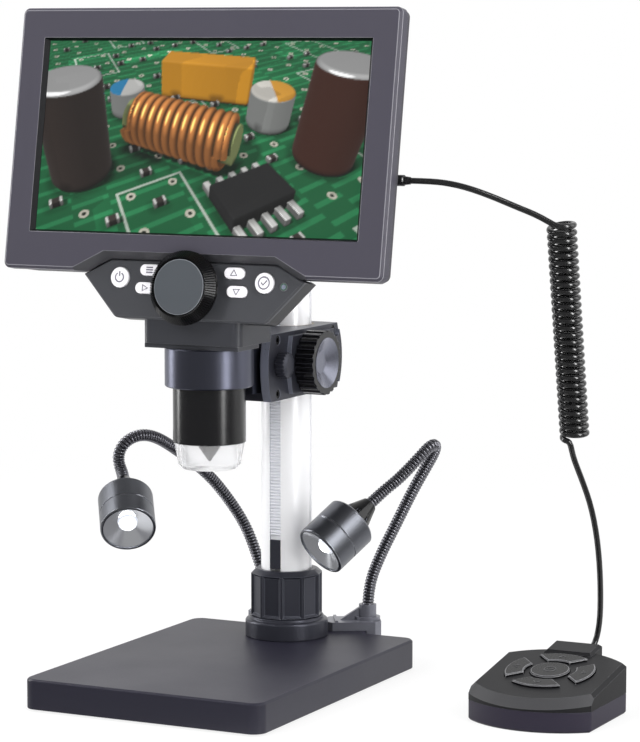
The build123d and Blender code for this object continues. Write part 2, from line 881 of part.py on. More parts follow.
# ================================================================ neck
head = Plane(origin=(0, screen_y, screen_z), x_dir=(1, 0, 0), z_dir=(0, -tilt_cos, tilt_sin))
shoulder_width = back_width - 2 * back_shoulder
rear_width = back_width - 2 * back_taper
rear_height = back_height - 2 * back_taper
back_join = head.offset(-bezel_depth)
back_step = head.offset(-bezel_depth - back_straight)
back_slope = head.offset(-control_depth)
back_rear = head.offset(-back_face)

with BuildPart() as back_form:
    with BuildSketch(back_join):
        RectangleRounded(back_width, back_height, bezel_corner)
    extrude(amount=-back_straight)
    with BuildSketch(back_step):
        RectangleRounded(back_width, back_height, bezel_corner)
    with BuildSketch(back_slope):
        RectangleRounded(shoulder_width, back_height, bezel_corner)
    loft()
    with BuildSketch(back_slope):
        RectangleRounded(shoulder_width, back_height, bezel_corner)
    with BuildSketch(back_rear):
        RectangleRounded(rear_width, rear_height, bezel_corner)
    loft()

lip_half = neck_half_width - neck_lip_inset
tower_front_y = neck_front_y + tower_set_back
with BuildPart() as neck_block:
    with BuildSketch(Plane.XY.offset(neck_bottom)) as neck_plan:
        with BuildLine():
            Polyline((-neck_half_width, neck_back_y), (-neck_half_width, neck_front_y),
                     (neck_half_width, neck_front_y), (neck_half_width, neck_back_y), close=True)
        make_face()
        fillet(neck_plan.vertices().group_by(Axis.Y)[0], neck_corner)
    extrude(amount=neck_height)
    with BuildSketch(Plane.XY.offset(tube_shoulder)):
        with BuildLine():
            Polyline((-lip_half, neck_back_y - neck_lip_back), (-lip_half, neck_front_y + neck_lip_inset),
                     (lip_half, neck_front_y + neck_lip_inset), (lip_half, neck_back_y - neck_lip_back),
                     close=True)
        make_face()
    extrude(amount=neck_lip)
    with BuildSketch(Plane.XY.offset(neck_top)):
        with BuildLine():
            Polyline((-tower_half_width, neck_back_y), (-tower_half_width, tower_front_y),
                     (tower_half_width, tower_front_y), (tower_half_width, neck_back_y), close=True)
        make_face()
    extrude(amount=tower_top - neck_top)
    with BuildSketch(Plane.XY.offset(neck_top)):
        with BuildLine():
            Polyline((-tower_half_width + tower_wall, neck_back_y - tower_wall),
                     (-tower_half_width + tower_wall, neck_front_y),
                     (tower_half_width - tower_wall, neck_front_y),
                     (tower_half_width - tower_wall, neck_back_y - tower_wall), close=True)
        make_face()
    extrude(amount=tower_top - tower_wall - neck_top, mode=Mode.SUBTRACT)
    with BuildSketch(optic_axis.offset(tube_shoulder)):
        Circle(tube_neck_radius)
    extrude(amount=tube_neck_height, mode=Mode.SUBTRACT)
    with BuildSketch(optic_axis.offset(tube_top)):
        Circle(carrier_radius + carrier_room)
    extrude(amount=neck_top - tube_top, mode=Mode.SUBTRACT)
    add(back_form.part, mode=Mode.SUBTRACT)
    with BuildSketch(head.offset(-control_depth)):
        with Locations((0, -control_low)):
            Rectangle(2 * bezel_width, 2 * bezel_height, align=(Align.CENTER, Align.MIN))
    extrude(amount=3 * control_depth, mode=Mode.SUBTRACT)
keep(neck_block, "neck_block")

# ================================================================ screen
facing = Axis(head.origin, head.z_dir)
upper_route = [
    (96.5, -14.3, 229.2), (104.5, -14.3, 229.2), (113.0, -13.5, 228.6), (121.4, -10.6, 226.6),
    (130.4, -5.4, 222.8), (139.2, -1.0, 218.6), (147.4, 2.7, 215.0), (154.8, 4.9, 212.0)]
plug_start_x = back_width / 2 - back_shoulder - plug_tail
plug_start = (plug_start_x, upper_route[0][1], upper_route[0][2])
plug_plane = Plane(origin=plug_start, x_dir=(0, 1, 0), z_dir=(1, 0, 0))
window = (0, window_rise)
pocket_low = control_top - recess_flare - control_plate
pocket_high = bezel_height / 2 - bezel_wall
pocket_middle = (0, (pocket_high - pocket_low) / 2)


def recess_points(half_top, top, half_wide, wide):
    """Corners of the notch in the bezel's lower edge, open downwards."""
    low = bezel_height / 2 + notch_rise
    return [(-half_wide, -low), (-half_wide, -wide), (-half_top, -top), (half_top, -top),
            (half_wide, -wide), (half_wide, -low)]


recess_at_face = recess_points(control_top_half + control_wide_drop, control_top - recess_flare,
                               control_wide_half + recess_flare, control_wide - recess_low_flare)
recess_at_panel = recess_points(control_top_half, control_top, control_wide_half, control_wide)
recess_round_panel = recess_points(control_top_half + fit_gap, control_top - fit_gap,
                                   control_wide_half + fit_gap, control_wide - fit_gap)

with BuildPart() as screen_bezel:
    with BuildSketch(head.offset(-bezel_depth)):
        RectangleRounded(bezel_width, bezel_height, bezel_corner)
    extrude(amount=bezel_depth)
    chamfer(screen_bezel.edges().group_by(facing)[-1], bezel_edge)
    with BuildSketch(head.offset(-bezel_depth)):
        with Locations(pocket_middle):
            Rectangle(bezel_width - 2 * bezel_wall, pocket_high + pocket_low)
    extrude(amount=bezel_depth - bezel_skin, mode=Mode.SUBTRACT)
    with BuildSketch(head):
        with Locations(window):
            Rectangle(window_width, window_height)
    with BuildSketch(head.offset(-bezel_skin)):
        with Locations(window):
            Rectangle(glass_width, glass_height)
    loft(mode=Mode.SUBTRACT)
    with BuildSketch(head):
        Polygon(*recess_at_face, align=None)
    with BuildSketch(head.offset(-recess_depth)):
        Polygon(*recess_at_panel, align=None)
    loft(mode=Mode.SUBTRACT)
    with BuildSketch(head.offset(-recess_depth)):
        Polygon(*recess_round_panel, align=None)
    extrude(amount=recess_depth - bezel_depth, mode=Mode.SUBTRACT)
keep(screen_bezel, "screen_bezel")

screw_x = bezel_width / 2 - back_screw_inset_x
screw_v = bezel_height / 2 - back_screw_inset_y
back_screw_spots = [(sx * screw_x, sv * screw_v) for sx in (-1, 1) for sv in (-1, 1)]
inner_width = back_width - 2 * back_wall
inner_height = back_height - 2 * back_wall
inner_shoulder = shoulder_width - 2 * back_wall
inner_corner = bezel_corner - back_wall / 2
boss_length = back_face - bezel_skin - lcd_depth - fit_gap
with BuildPart() as screen_back:
    add(back_form.part)
    with BuildSketch(back_join):
        RectangleRounded(inner_width, inner_height, inner_corner)
    extrude(amount=-back_straight, mode=Mode.SUBTRACT)
    with BuildSketch(back_step):
        RectangleRounded(inner_width, inner_height, inner_corner)
    with BuildSketch(back_slope):
        RectangleRounded(inner_shoulder, inner_height, inner_corner)
    loft(mode=Mode.SUBTRACT)
    with BuildSketch(back_slope):
        RectangleRounded(inner_shoulder, inner_height, inner_corner)
    with BuildSketch(back_rear.offset(back_wall)):
        RectangleRounded(rear_width - 2 * back_wall, rear_height - 2 * back_wall, inner_corner)
    loft(mode=Mode.SUBTRACT)
    with BuildSketch(back_join):
        Polygon(*recess_round_panel, align=None)
    extrude(amount=-notch_depth, mode=Mode.SUBTRACT)
    with BuildSketch(back_rear):
        with Locations(*back_screw_spots):
            Circle(boss_radius)
    extrude(amount=boss_length)
    with BuildSketch(back_rear):
        with Locations(*back_screw_spots):
            Circle(screw_head_radius)
    extrude(amount=back_screw_sink, mode=Mode.SUBTRACT)
    with BuildSketch(back_rear):
        with Locations(*back_screw_spots):
            Circle(screw_radius)
    extrude(amount=boss_length, mode=Mode.SUBTRACT)
    with BuildSketch(plug_plane):
        Circle(plug_radius + guide_gap)
    extrude(amount=2 * back_shoulder, mode=Mode.SUBTRACT)
keep(screen_back, "screen_back")

with BuildPart() as screen_screws:
    with BuildSketch(back_rear.offset(back_screw_sink - back_screw_head)):
        with Locations(*back_screw_spots):
            Circle(screw_head_radius)
    extrude(amount=back_screw_head)
    with BuildSketch(back_rear.offset(back_screw_sink)):
        with Locations(*back_screw_spots):
            Circle(screw_radius)
    extrude(amount=boss_length - back_screw_sink - screw_end_gap)
keep(screen_screws, "screen_screws")

lcd_front = head.offset(-bezel_skin)
lcd_back = -bezel_skin - lcd_depth
lcd_width = glass_width + 2 * panel_margin
lcd_height = glass_height + 2 * panel_margin
with BuildPart() as lcd_panel:
    with BuildSketch(lcd_front):
        with Locations(window):
            Rectangle(lcd_width, lcd_height)
    extrude(amount=-lcd_depth)
keep(lcd_panel, "lcd_panel")

with BuildPart() as battery:
    with BuildSketch(head.offset(lcd_back - board_thickness)):
        Rectangle(battery_width, battery_height)
    extrude(amount=-battery_depth)
    fillet(battery.edges().group_by(facing)[0], battery_edge)
keep(battery, "battery")

# ---------------------------------------------------------------- control section
control_points = [(control_top_half, -control_top), (control_wide_half, -control_wide),
                  (control_low_half, -control_low), (-control_low_half, -control_low),
                  (-control_wide_half, -control_wide), (-control_top_half, -control_top)]
round_v = round_button_rise - dial_drop
upper_pill_v = upper_pill_rise - dial_drop
lower_pill_v = -lower_pill_drop - dial_drop
round_spots = {"power": (-round_button_x, round_v), "accept": (round_button_x, round_v)}
pill_spots = {"menu": (-upper_pill_x, upper_pill_v), "play": (upper_pill_x, upper_pill_v),
              "left": (-lower_pill_x, lower_pill_v), "right": (lower_pill_x, lower_pill_v)}
dial_spot = (0, -dial_drop)
indicator_spot = (indicator_x, indicator_rise - dial_drop)
panel_back = head.offset(-recess_depth - control_plate)
panel_back_depth = recess_depth + control_plate

with BuildSketch() as control_outline:
    with BuildLine():
        Polyline(*control_points, close=True)
    make_face()
    fillet(control_outline.vertices().sort_by(Axis.Y)[:2], control_corner)

with BuildPart() as control_panel:
    with BuildSketch(panel_back):
        add(control_outline.sketch)
    extrude(amount=control_plate)
    chamfer(control_panel.edges().group_by(facing)[-1], control_edge)
    with BuildSketch(panel_back):
        with Locations(dial_spot):
            Circle(dial_shaft_radius + 2 * guide_gap)
        with Locations(indicator_spot):
            Circle(indicator_radius)
        with Locations(*round_spots.values()):
            Circle(round_button + button_gap)
        with Locations(*pill_spots.values()):
            SlotOverall(pill_length + 2 * button_gap, pill_height + 2 * button_gap)
    extrude(amount=control_plate, mode=Mode.SUBTRACT)
keep(control_panel, "control_panel")

with BuildPart() as control_shell:
    with BuildSketch(panel_back):
        add(control_outline.sketch)
    extrude(amount=panel_back_depth - control_depth)
    with BuildSketch(panel_back):
        offset(control_outline.sketch, amount=-control_wall)
    extrude(amount=panel_back_depth - control_depth + control_wall, mode=Mode.SUBTRACT)
    with BuildSketch(panel_back):
        with Locations((0, -bezel_height / 2)):
            Rectangle(bezel_width, bezel_height, align=(Align.CENTER, Align.MIN))
    extrude(amount=-2 * control_depth, mode=Mode.SUBTRACT)
    with BuildSketch(panel_back):
        with Locations(dial_spot):
            Circle(crank_radius + 2 * turning_gap)
    extrude(amount=-2 * control_depth, mode=Mode.SUBTRACT)
keep(control_shell, "control_shell")


def push_button(shape, spot):
    """Cap that stands out of the panel, with a collar behind it that stops it coming through."""
    with BuildPart() as button:
        with BuildSketch(panel_back):
            with Locations(spot):
                shape(0)
        extrude(amount=control_plate + button_rise)
        fillet(button.edges().group_by(facing)[-1], button_edge)
        with BuildSketch(panel_back):
            with Locations(spot):
                shape(button_collar)
        extrude(amount=-button_collar_depth)
    return button


for name, spot in round_spots.items():
    keep(push_button(lambda grow: Circle(round_button + grow), spot), f"button_{name}")
for name, spot in pill_spots.items():
    keep(push_button(lambda grow: SlotOverall(pill_length + 2 * grow, pill_height + 2 * grow), spot),
         f"button_{name}")

switch_depth = panel_back_depth + button_collar_depth + button_travel + switch_gap
board_depth = switch_depth + switch_height
with BuildPart() as circuit_boards:
    with BuildSketch(head.offset(lcd_back)):
        with Locations((0, -main_board_drop)):
            Rectangle(main_board_width, main_board_height)
    extrude(amount=-board_thickness)
    with BuildSketch(head.offset(-board_depth)):
        offset(control_outline.sketch, amount=-control_wall)
        with Locations((0, -bezel_height / 2)):
            Rectangle(bezel_width, bezel_height, align=(Align.CENTER, Align.MIN), mode=Mode.SUBTRACT)
        with Locations(dial_spot):
            Circle(dial_shaft_radius + carrier_room, mode=Mode.SUBTRACT)
    extrude(amount=-board_thickness)
    with BuildSketch(head.offset(-board_depth)):
        with Locations(*round_spots.values(), pill_spots["left"], pill_spots["right"]):
            Circle(switch_radius)
    extrude(amount=board_depth - switch_depth)
    with BuildSketch(head.offset(-board_depth)):
        with Locations(indicator_spot):
            Circle(indicator_radius - indicator_gap)
    extrude(amount=board_depth - recess_depth + indicator_dome)
    with BuildSketch(optic_axis.offset(tube_bottom + tip_spigot)):
        Circle(tube_radius - tube_wall)
        Circle(carrier_radius + carrier_room, mode=Mode.SUBTRACT)
    extrude(amount=board_thickness)
    with BuildSketch(Plane.XY.offset(sensor_z)):
        with Locations((0, neck_back_y - tower_wall)):
            Rectangle(2 * (tower_half_width - tower_wall), sensor_depth, align=(Align.CENTER, Align.MAX))
    extrude(amount=board_thickness)
keep(circuit_boards, "circuit_boards")

# ---------------------------------------------------------------- dial and lens carrier
dial_middle = head.from_local_coords((0, -dial_drop, -recess_depth))
dial_plane = Plane(origin=dial_middle, x_dir=head.x_dir, z_dir=head.z_dir)
crank_back = control_depth - recess_depth
dial_skirt = dial_lift + dial_hub
focus_travel = crank_throw * sin(radians(focus_turn))
carrier_top = neck_top + focus_travel + turning_gap + carrier_shelf
slot_height = 2 * crank_pin_radius + slot_clearance
objective_base = tip_knuckle + objective_gap
carrier_shoulder = objective_base + carrier_nose
carrier_bore = carrier_radius - carrier_wall - carrier_neck

with BuildPart() as focus_dial:
    with BuildSketch(dial_plane.offset(dial_lift)):
        Circle(dial_hub_radius)
    extrude(amount=dial_hub)
    with BuildSketch(dial_plane.offset(dial_skirt)):
        Circle(dial_flange_radius)
    extrude(amount=dial_flange)
    with BuildSketch(dial_plane.offset(dial_skirt + dial_flange)):
        Circle(dial_low_radius)
    with BuildSketch(dial_plane.offset(dial_skirt + dial_flange + dial_cone)):
        Circle(dial_face_radius)
    loft()
    with BuildSketch(dial_plane.offset(dial_lift)):
        Circle(dial_shaft_radius)
    extrude(amount=crank_thickness - dial_lift - crank_back)
    with BuildSketch(dial_plane.offset(crank_thickness - crank_back)):
        Circle(crank_radius)
    extrude(amount=-crank_thickness)
    with BuildSketch(dial_plane.offset(-crank_back)):
        with Locations((crank_throw, 0)):
            Circle(crank_pin_radius)
    extrude(amount=-crank_pin_length)
keep(focus_dial, "focus_dial")

pin_middle = dial_plane.from_local_coords((crank_throw, 0, -crank_back - crank_pin_length / 2))
slot_plate_top = pin_middle.Z + slot_height / 2 + slot_rim
slot_plate_rise = slot_plate_top - pin_middle.Z + focus_travel
slot_plate_front = dial_plane.from_local_coords((0, slot_plate_rise, -crank_back)).Y + turning_gap
with BuildPart() as lens_carrier:
    with BuildSketch(optic_axis.offset(objective_base)):
        Circle(objective_radius - carrier_neck)
    with BuildSketch(optic_axis.offset(carrier_shoulder)):
        Circle(carrier_radius)
    loft()
    with BuildSketch(optic_axis.offset(carrier_shoulder)):
        Circle(carrier_radius)
    extrude(amount=carrier_top - carrier_shoulder)
    with BuildSketch(Plane.XY.offset(carrier_top)):
        with Locations((crank_throw, slot_plate_front)):
            Rectangle(slot_plate_width, slot_plate_thickness, align=(Align.CENTER, Align.MIN))
    extrude(amount=slot_plate_top - carrier_top)
    with BuildSketch(Plane.XY.offset(carrier_top - carrier_shelf)):
        with Locations((crank_throw / 2, slot_plate_front)):
            Rectangle(slot_plate_width + crank_throw, 2 * carrier_shelf, align=(Align.CENTER, Align.MIN))
    extrude(amount=carrier_shelf)
    with BuildSketch(Plane.XZ.offset(-slot_plate_front - carrier_shelf)):
        with Locations((crank_throw - slot_offset, pin_middle.Z)):
            Rectangle(slot_plate_width - 2 * slot_rim, slot_height)
    extrude(amount=2 * carrier_shelf, mode=Mode.SUBTRACT)
    with BuildSketch(Plane.XY.offset(tube_top + turning_gap)):
        with Locations((0, slot_plate_front)):
            Rectangle(4 * carrier_radius, 2 * carrier_radius, align=(Align.CENTER, Align.MAX))
    extrude(amount=slot_plate_top - tube_top, mode=Mode.SUBTRACT)
    with BuildSketch(optic_axis.offset(objective_base)):
        Circle(carrier_bore)
    extrude(amount=carrier_top - objective_base, mode=Mode.SUBTRACT)
    with BuildSketch(optic_axis.offset(objective_base + objective_thickness)):
        Circle(carrier_bore)
    extrude(amount=objective_thickness)
keep(lens_carrier, "lens_carrier")

# ================================================================ lamps
socket_x = tab_radius * cos(radians(clip_angle))
socket_y = tab_y + tab_radius * sin(radians(clip_angle))
tongue_top = base_height + clip_seat_gap + clip_thickness
clip_outer = tab_radius + clip_back
arm_start = tongue_top + socket_step_height

right_arm_route = [
    (socket_x, socket_y, arm_start), (socket_x, socket_y, 33.0), (33.5, 90.3, 49.0), (41.6, 90.0, 64.0),
    (50.2, 89.8, 80.6), (57.0, 89.8, 92.0), (61.4, 88.9, 99.0), (63.6, 86.0, 103.4), (62.9, 80.6, 103.2),
    (59.4, 77.0, 98.3), (54.5, 74.8, 92.4), (49.0, 74.4, 87.0), (43.1, 72.6, 82.0), (38.0, 62.8, 74.5)]
left_arm_route = [
    (-socket_x, socket_y, arm_start), (-socket_x, socket_y, 31.0), (-31.2, 89.8, 44.0), (-35.9, 88.0, 57.8),
    (-41.9, 82.0, 71.2), (-47.1, 70.0, 85.3), (-53.8, 50.0, 99.2), (-56.6, 37.0, 106.0), (-58.8, 27.6, 107.8),
    (-62.2, 21.4, 105.0), (-64.8, 20.0, 99.2), (-65.2, 21.6, 93.8), (-62.9, 18.6, 89.7), (-58.9, 12.6, 85.4)]


def lamp_clip(side):
    """U-shaped clip over the base's rear tab, with the socket that holds the arm."""
    angle = radians(clip_angle if side > 0 else 180 - clip_angle)
    outward = Vector(cos(angle), sin(angle), 0)
    center = Vector(0, tab_y, 0)
    across = Plane(origin=center, x_dir=outward, z_dir=outward.cross(Vector(0, 0, 1)))
    flat = Plane(origin=center, x_dir=outward, z_dir=(0, 0, 1))
    inner = tab_radius - clip_tongue
    seat = base_height + clip_seat_gap
    jaw_low = base_bottom + clip_jaw_rise
    jaw_top = jaw_low + clip_jaw_thickness
    bite = tab_radius - clip_wall_bite
    half_width = clip_width / 2
    with BuildPart() as clip:
        with BuildSketch(across.offset(-half_width)):
            with BuildLine():
                Polyline((inner, seat), (inner, tongue_top), (clip_outer, tongue_top), (clip_outer, jaw_low),
                         (tab_radius - clip_jaw, jaw_low), (tab_radius - clip_jaw, jaw_top),
                         (bite, jaw_top), (bite, seat), close=True)
            make_face()
        extrude(amount=clip_width)
        with BuildSketch(flat.offset(jaw_top)):
            Circle(tab_radius + clip_seat_gap)
        extrude(amount=seat - jaw_top, mode=Mode.SUBTRACT)
        with BuildSketch(flat):
            with BuildLine():
                Polyline((inner, -clip_corner), (inner + clip_taper, -half_width),
                         (clip_outer - clip_corner, -half_width), (clip_outer, clip_corner - half_width),
                         (clip_outer, half_width - clip_corner), (clip_outer - clip_corner, half_width),
                         (inner + clip_taper, half_width), (inner, clip_corner), close=True)
            make_face()
        extrude(amount=tongue_top, mode=Mode.INTERSECT)
        with BuildSketch(flat.offset(tongue_top)):
            with Locations((inner + clip_bar_place, 0)):
                Rectangle(clip_bar, clip_width - 2 * clip_side_gap)
        extrude(amount=clip_bar_height)
        with BuildSketch(flat.offset(tongue_top)):
            with Locations((tab_radius, 0)):
                Circle(socket_radius + socket_step)
        extrude(amount=socket_step_height)
        with BuildSketch(across.offset(-rib_thickness / 2)):
            with BuildLine():
                Polyline((inner + rib_reach, tongue_top), (tab_radius, tongue_top),
                         (tab_radius, socket_top - socket_step_height),
                         (tab_radius - socket_radius, socket_top - socket_step_height), close=True)
            make_face()
        extrude(amount=rib_thickness)
        with BuildSketch(flat.offset(tongue_top)):
            with Locations((tab_radius, 0)):
                Circle(socket_radius)
        extrude(amount=socket_top - tongue_top)
        with BuildSketch(flat.offset(arm_start)):
            with Locations((tab_radius, 0)):
                Circle(arm_radius + guide_gap)
        extrude(amount=socket_top, mode=Mode.SUBTRACT)
    return clip


def lamp_arm(points):
    """Flexible arm from the socket to the neck of the lamp."""
    with BuildPart() as arm:
        with BuildLine() as line:
            path, radii = rounded_path(points)
        with BuildSketch(Plane(origin=points[0], z_dir=line.line % 0)):
            Circle(arm_radius)
        sweep(path=line.line)
    return arm, radii


def lamp_pieces(points, side_name):
    """Neck, barrel and light on the end of an arm, in line with its last run."""
    end = Vector(*points[-1])
    aim = (end - Vector(*points[-2])).normalized()
    level = Vector(0, 0, 1).cross(aim).normalized()
    seat = Plane(origin=end, x_dir=level, z_dir=aim)
    barrel_back = seat.offset(lamp_neck_length - arm_grip)
    lamp_face = seat.offset(lamp_neck_length - arm_grip + lamp_length)
    along = Axis(end, aim)

    with BuildPart() as neck:
        with BuildSketch(seat.offset(-arm_grip)):
            Circle(lamp_neck_end)
        with BuildSketch(barrel_back):
            Circle(lamp_neck_radius)
        loft()
        with BuildSketch(barrel_back):
            with PolarLocations(lamp_neck_radius, lamp_neck_slots):
                Rectangle(2 * lamp_neck_slot_depth, lamp_neck_slot_width)
        extrude(amount=lamp_neck_slot_end - lamp_neck_length, mode=Mode.SUBTRACT)
        with BuildSketch(seat.offset(-arm_grip)):
            Circle(arm_radius)
        extrude(amount=arm_grip, mode=Mode.SUBTRACT)
    keep(neck, f"lamp_neck_{side_name}")

    with BuildPart() as barrel:
        with BuildSketch(barrel_back):
            Circle(lamp_radius)
        extrude(amount=lamp_length)
        chamfer(barrel.edges().group_by(along)[-1], lamp_front_edge)
        chamfer(barrel.edges().group_by(along)[0], lamp_back_edge)
        with BuildSketch(lamp_face):
            Circle(lamp_radius - lamp_wall)
        extrude(amount=-lamp_recess - lamp_light_depth, mode=Mode.SUBTRACT)
        with BuildSketch(lamp_face.offset(-lamp_seam_share * lamp_length)):
            Circle(lamp_radius + lamp_wall)
            Circle(lamp_radius - lamp_seam_depth, mode=Mode.SUBTRACT)
        extrude(amount=-lamp_seam_width, mode=Mode.SUBTRACT)
    keep(barrel, f"lamp_head_{side_name}")

    with BuildPart() as light:
        with BuildSketch(lamp_face.offset(-lamp_recess - lamp_light_depth)):
            Circle(lamp_radius - lamp_wall)
        extrude(amount=lamp_light_depth)
        with BuildSketch(lamp_face.offset(-lamp_recess)):
            Circle(lamp_led_radius)
        extrude(amount=lamp_led_height)
    keep(light, f"lamp_light_{side_name}")


for side, side_name, route in ((1, "right", right_arm_route), (-1, "left", left_arm_route)):
    keep(lamp_clip(side), f"lamp_clip_{side_name}")
    arm, radii = lamp_arm(route)
    keep(arm, f"lamp_arm_{side_name}")
    print("lamp arm", side_name, "radii", [round(radius, 1) for radius in radii])
    lamp_pieces(route, side_name)

# ================================================================ remote
slope_sin = sin(radians(remote_slope))
slope_cos = cos(radians(remote_slope))
remote_nose_y = remote_front_y - remote_nose
remote_tail_y = remote_back_y + remote_tail
remote_top_plane = Plane(origin=(remote_x, remote_nose_y, remote_front_height), x_dir=(1, 0, 0),
                         z_dir=(0, -slope_sin, slope_cos))
pad_rise = (pad_y - remote_nose_y) / slope_cos
pad_plane = Plane(origin=remote_top_plane.from_local_coords((0, pad_rise, 0)), x_dir=(1, 0, 0),
                  z_dir=remote_top_plane.z_dir)
remote_half = remote_width / 2

remote_left = remote_x - remote_half
remote_right = remote_x + remote_half

with BuildSketch() as remote_outline:
    with BuildLine():
        Line((remote_left, remote_back_y), (remote_left, remote_front_y))
        ThreePointArc((remote_left, remote_front_y), (remote_x, remote_nose_y),
                      (remote_right, remote_front_y))
        Line((remote_right, remote_front_y), (remote_right, remote_back_y))
        ThreePointArc((remote_right, remote_back_y), (remote_x, remote_tail_y), (remote_left, remote_back_y))
    make_face()
    with Locations((remote_x, remote_tail_y + remote_hump)):
        Rectangle(2 * remote_hump_half, remote_hump + remote_hump_front, align=(Align.CENTER, Align.MAX))

with BuildPart() as remote_bottom:
    with BuildSketch():
        add(remote_outline.sketch)
    extrude(amount=remote_split)
    chamfer(remote_bottom.edges().group_by(Axis.Z)[0], remote_foot_edge)
    with BuildSketch(Plane.XY.offset(remote_wall)):
        offset(remote_outline.sketch, amount=-remote_wall)
    extrude(amount=remote_split, mode=Mode.SUBTRACT)
keep(remote_bottom, "remote_bottom")

with BuildPart() as remote_hollow:
    with BuildSketch(Plane.XY.offset(remote_split)):
        offset(remote_outline.sketch, amount=-remote_wall)
    extrude(amount=3 * remote_split)
    split(bisect_by=remote_top_plane.offset(-remote_wall), keep=Keep.BOTTOM)


def pad_wedge(number, grow):
    """Corners of the quarter of the ring that one of its buttons takes."""
    apex = (pad_split / 2 - grow) * sqrt(2)
    reach = 2 * pad_outer
    turn = number * pi / 2
    corners = [(apex, 0), (apex + reach, -reach), (apex + reach, reach)]
    return [(x * cos(turn) - y * sin(turn), x * sin(turn) + y * cos(turn)) for x, y in corners]


pad_names = ("right", "back", "left", "front")
pad_under = pad_plane.offset(-remote_wall)

with BuildPart() as remote_boss:
    with BuildSketch(Plane.XY.offset(remote_split)):
        with Locations((remote_x, remote_tail_y + remote_hump)):
            Rectangle(2 * remote_hump_half, remote_hump + remote_hump_front, align=(Align.CENTER, Align.MAX))
    extrude(amount=3 * remote_split)
    split(bisect_by=remote_top_plane.offset(remote_hump_rise), keep=Keep.BOTTOM)
    chamfer(remote_boss.faces().sort_by(Axis.Z)[-1].edges(), remote_hump_edge)

with BuildPart() as remote_top:
    with BuildSketch(Plane.XY.offset(remote_split)):
        add(remote_outline.sketch)
    extrude(amount=3 * remote_split)
    split(bisect_by=remote_top_plane, keep=Keep.BOTTOM)
    top_edges = remote_top.faces().sort_by(Axis.Z)[-1].edges().sort_by(Axis.Y)
    chamfer(top_edges[0], remote_brow)
    chamfer(remote_top.faces().sort_by(Axis.Z)[-1].edges().sort_by(Axis.Y)[1:], remote_edge)
    add(remote_boss.part)
    add(remote_hollow.part, mode=Mode.SUBTRACT)
    for number in range(len(pad_names)):
        with BuildSketch(pad_under):
            Circle(pad_outer + button_gap)
            Circle(pad_inner - button_gap, mode=Mode.SUBTRACT)
            Polygon(*pad_wedge(number, button_gap), align=None, mode=Mode.INTERSECT)
        extrude(amount=2 * remote_wall, mode=Mode.SUBTRACT)
    with BuildSketch(pad_under):
        Circle(pad_center + button_gap)
    extrude(amount=2 * remote_wall, mode=Mode.SUBTRACT)
keep(remote_top, "remote_top")

pad_facing = Axis(pad_plane.origin, pad_plane.z_dir)
for number, name in enumerate(pad_names):
    with BuildPart() as pad_button:
        with BuildSketch(pad_under):
            Circle(pad_outer)
            Circle(pad_inner, mode=Mode.SUBTRACT)
            Polygon(*pad_wedge(number, 0), align=None, mode=Mode.INTERSECT)
        extrude(amount=remote_wall + remote_button_rise)
        chamfer(pad_button.edges().group_by(pad_facing)[-1], pad_edge)
        with BuildSketch(pad_under):
            Circle(pad_outer + pad_collar)
            Circle(pad_inner - pad_collar, mode=Mode.SUBTRACT)
            Polygon(*pad_wedge(number, pad_collar), align=None, mode=Mode.INTERSECT)
        extrude(amount=-button_collar_depth)
    keep(pad_button, f"remote_button_{name}")

with BuildPart() as remote_button_center:
    with BuildSketch(pad_under):
        Circle(pad_center)
    extrude(amount=remote_wall + remote_button_rise)
    chamfer(remote_button_center.edges().group_by(pad_facing)[-1], pad_center_edge)
    with BuildSketch(pad_under):
        Circle(pad_center + pad_collar)
    extrude(amount=-button_collar_depth)
keep(remote_button_center, "remote_button_center")

# ================================================================ cord
cord_radius = cord_diameter / 2
lower_route = [
    (152.0, 26.6, 119.0), (153.2, 30.2, 110.0), (155.4, 35.4, 99.6), (157.3, 41.2, 88.0), (157.8, 47.4, 74.0),
    (157.1, 53.2, 59.2), (155.6, 58.4, 45.4), (154.0, 62.2, 33.6), (152.3, 62.6, 24.4), (150.7, 58.4, 19.2),
    (150.0, 52.2, 17.0), (150.0, 47.0, 17.0)]

plug_length = upper_route[0][0] - plug_relief - plug_start_x
with BuildPart() as cord_plug:
    with BuildSketch(plug_plane):
        Circle(plug_radius)
    extrude(amount=plug_length)
    chamfer(cord_plug.edges().group_by(Axis.X)[-1], plug_edge)
    with BuildSketch(plug_plane.offset(plug_length)):
        Circle(plug_radius - plug_relief_step)
    with BuildSketch(plug_plane.offset(plug_length + plug_relief)):
        Circle(cord_radius + cord_sleeve)
    loft()
keep(cord_plug, "cord_plug")


def cord_tube(points):
    """Plain tube along one stretch of the cord."""
    with BuildPart() as tube:
        with BuildLine() as line:
            path, radii = rounded_path(points)
        with BuildSketch(Plane(origin=points[0], z_dir=line.line % 0)):
            Circle(cord_radius)
        sweep(path=line.line)
    ratio = tube.part.volume / (pi * cord_radius ** 2 * path.length)
    print("cord stretch", round(path.length, 1), "volume ratio", round(ratio, 4),
          "radii", [round(radius, 1) for radius in radii])
    return tube


cord_upper = cord_tube(upper_route)
keep(cord_upper, "cord_upper")
cord_lower = cord_tube(lower_route)
keep(cord_lower, "cord_lower")

curl_start = Vector(*curl_top)
curl_line = Vector(*curl_bottom) - curl_start
with BuildPart() as cord_curl:
    with BuildSketch(Plane(origin=curl_start, z_dir=curl_line.normalized())):
        Circle(curl_diameter / 2)
    extrude(amount=curl_line.length)
keep(cord_curl, "cord_curl")

for piece in pieces:
    export_step(piece.part, f"parts/{piece.part.label}.step")
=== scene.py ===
"""Screen microscope on its rack column: the looks of every piece, around the fixed frame."""

import json
import math
from contextlib import contextmanager

import bpy
import numpy as np
from mathutils import Matrix, Vector


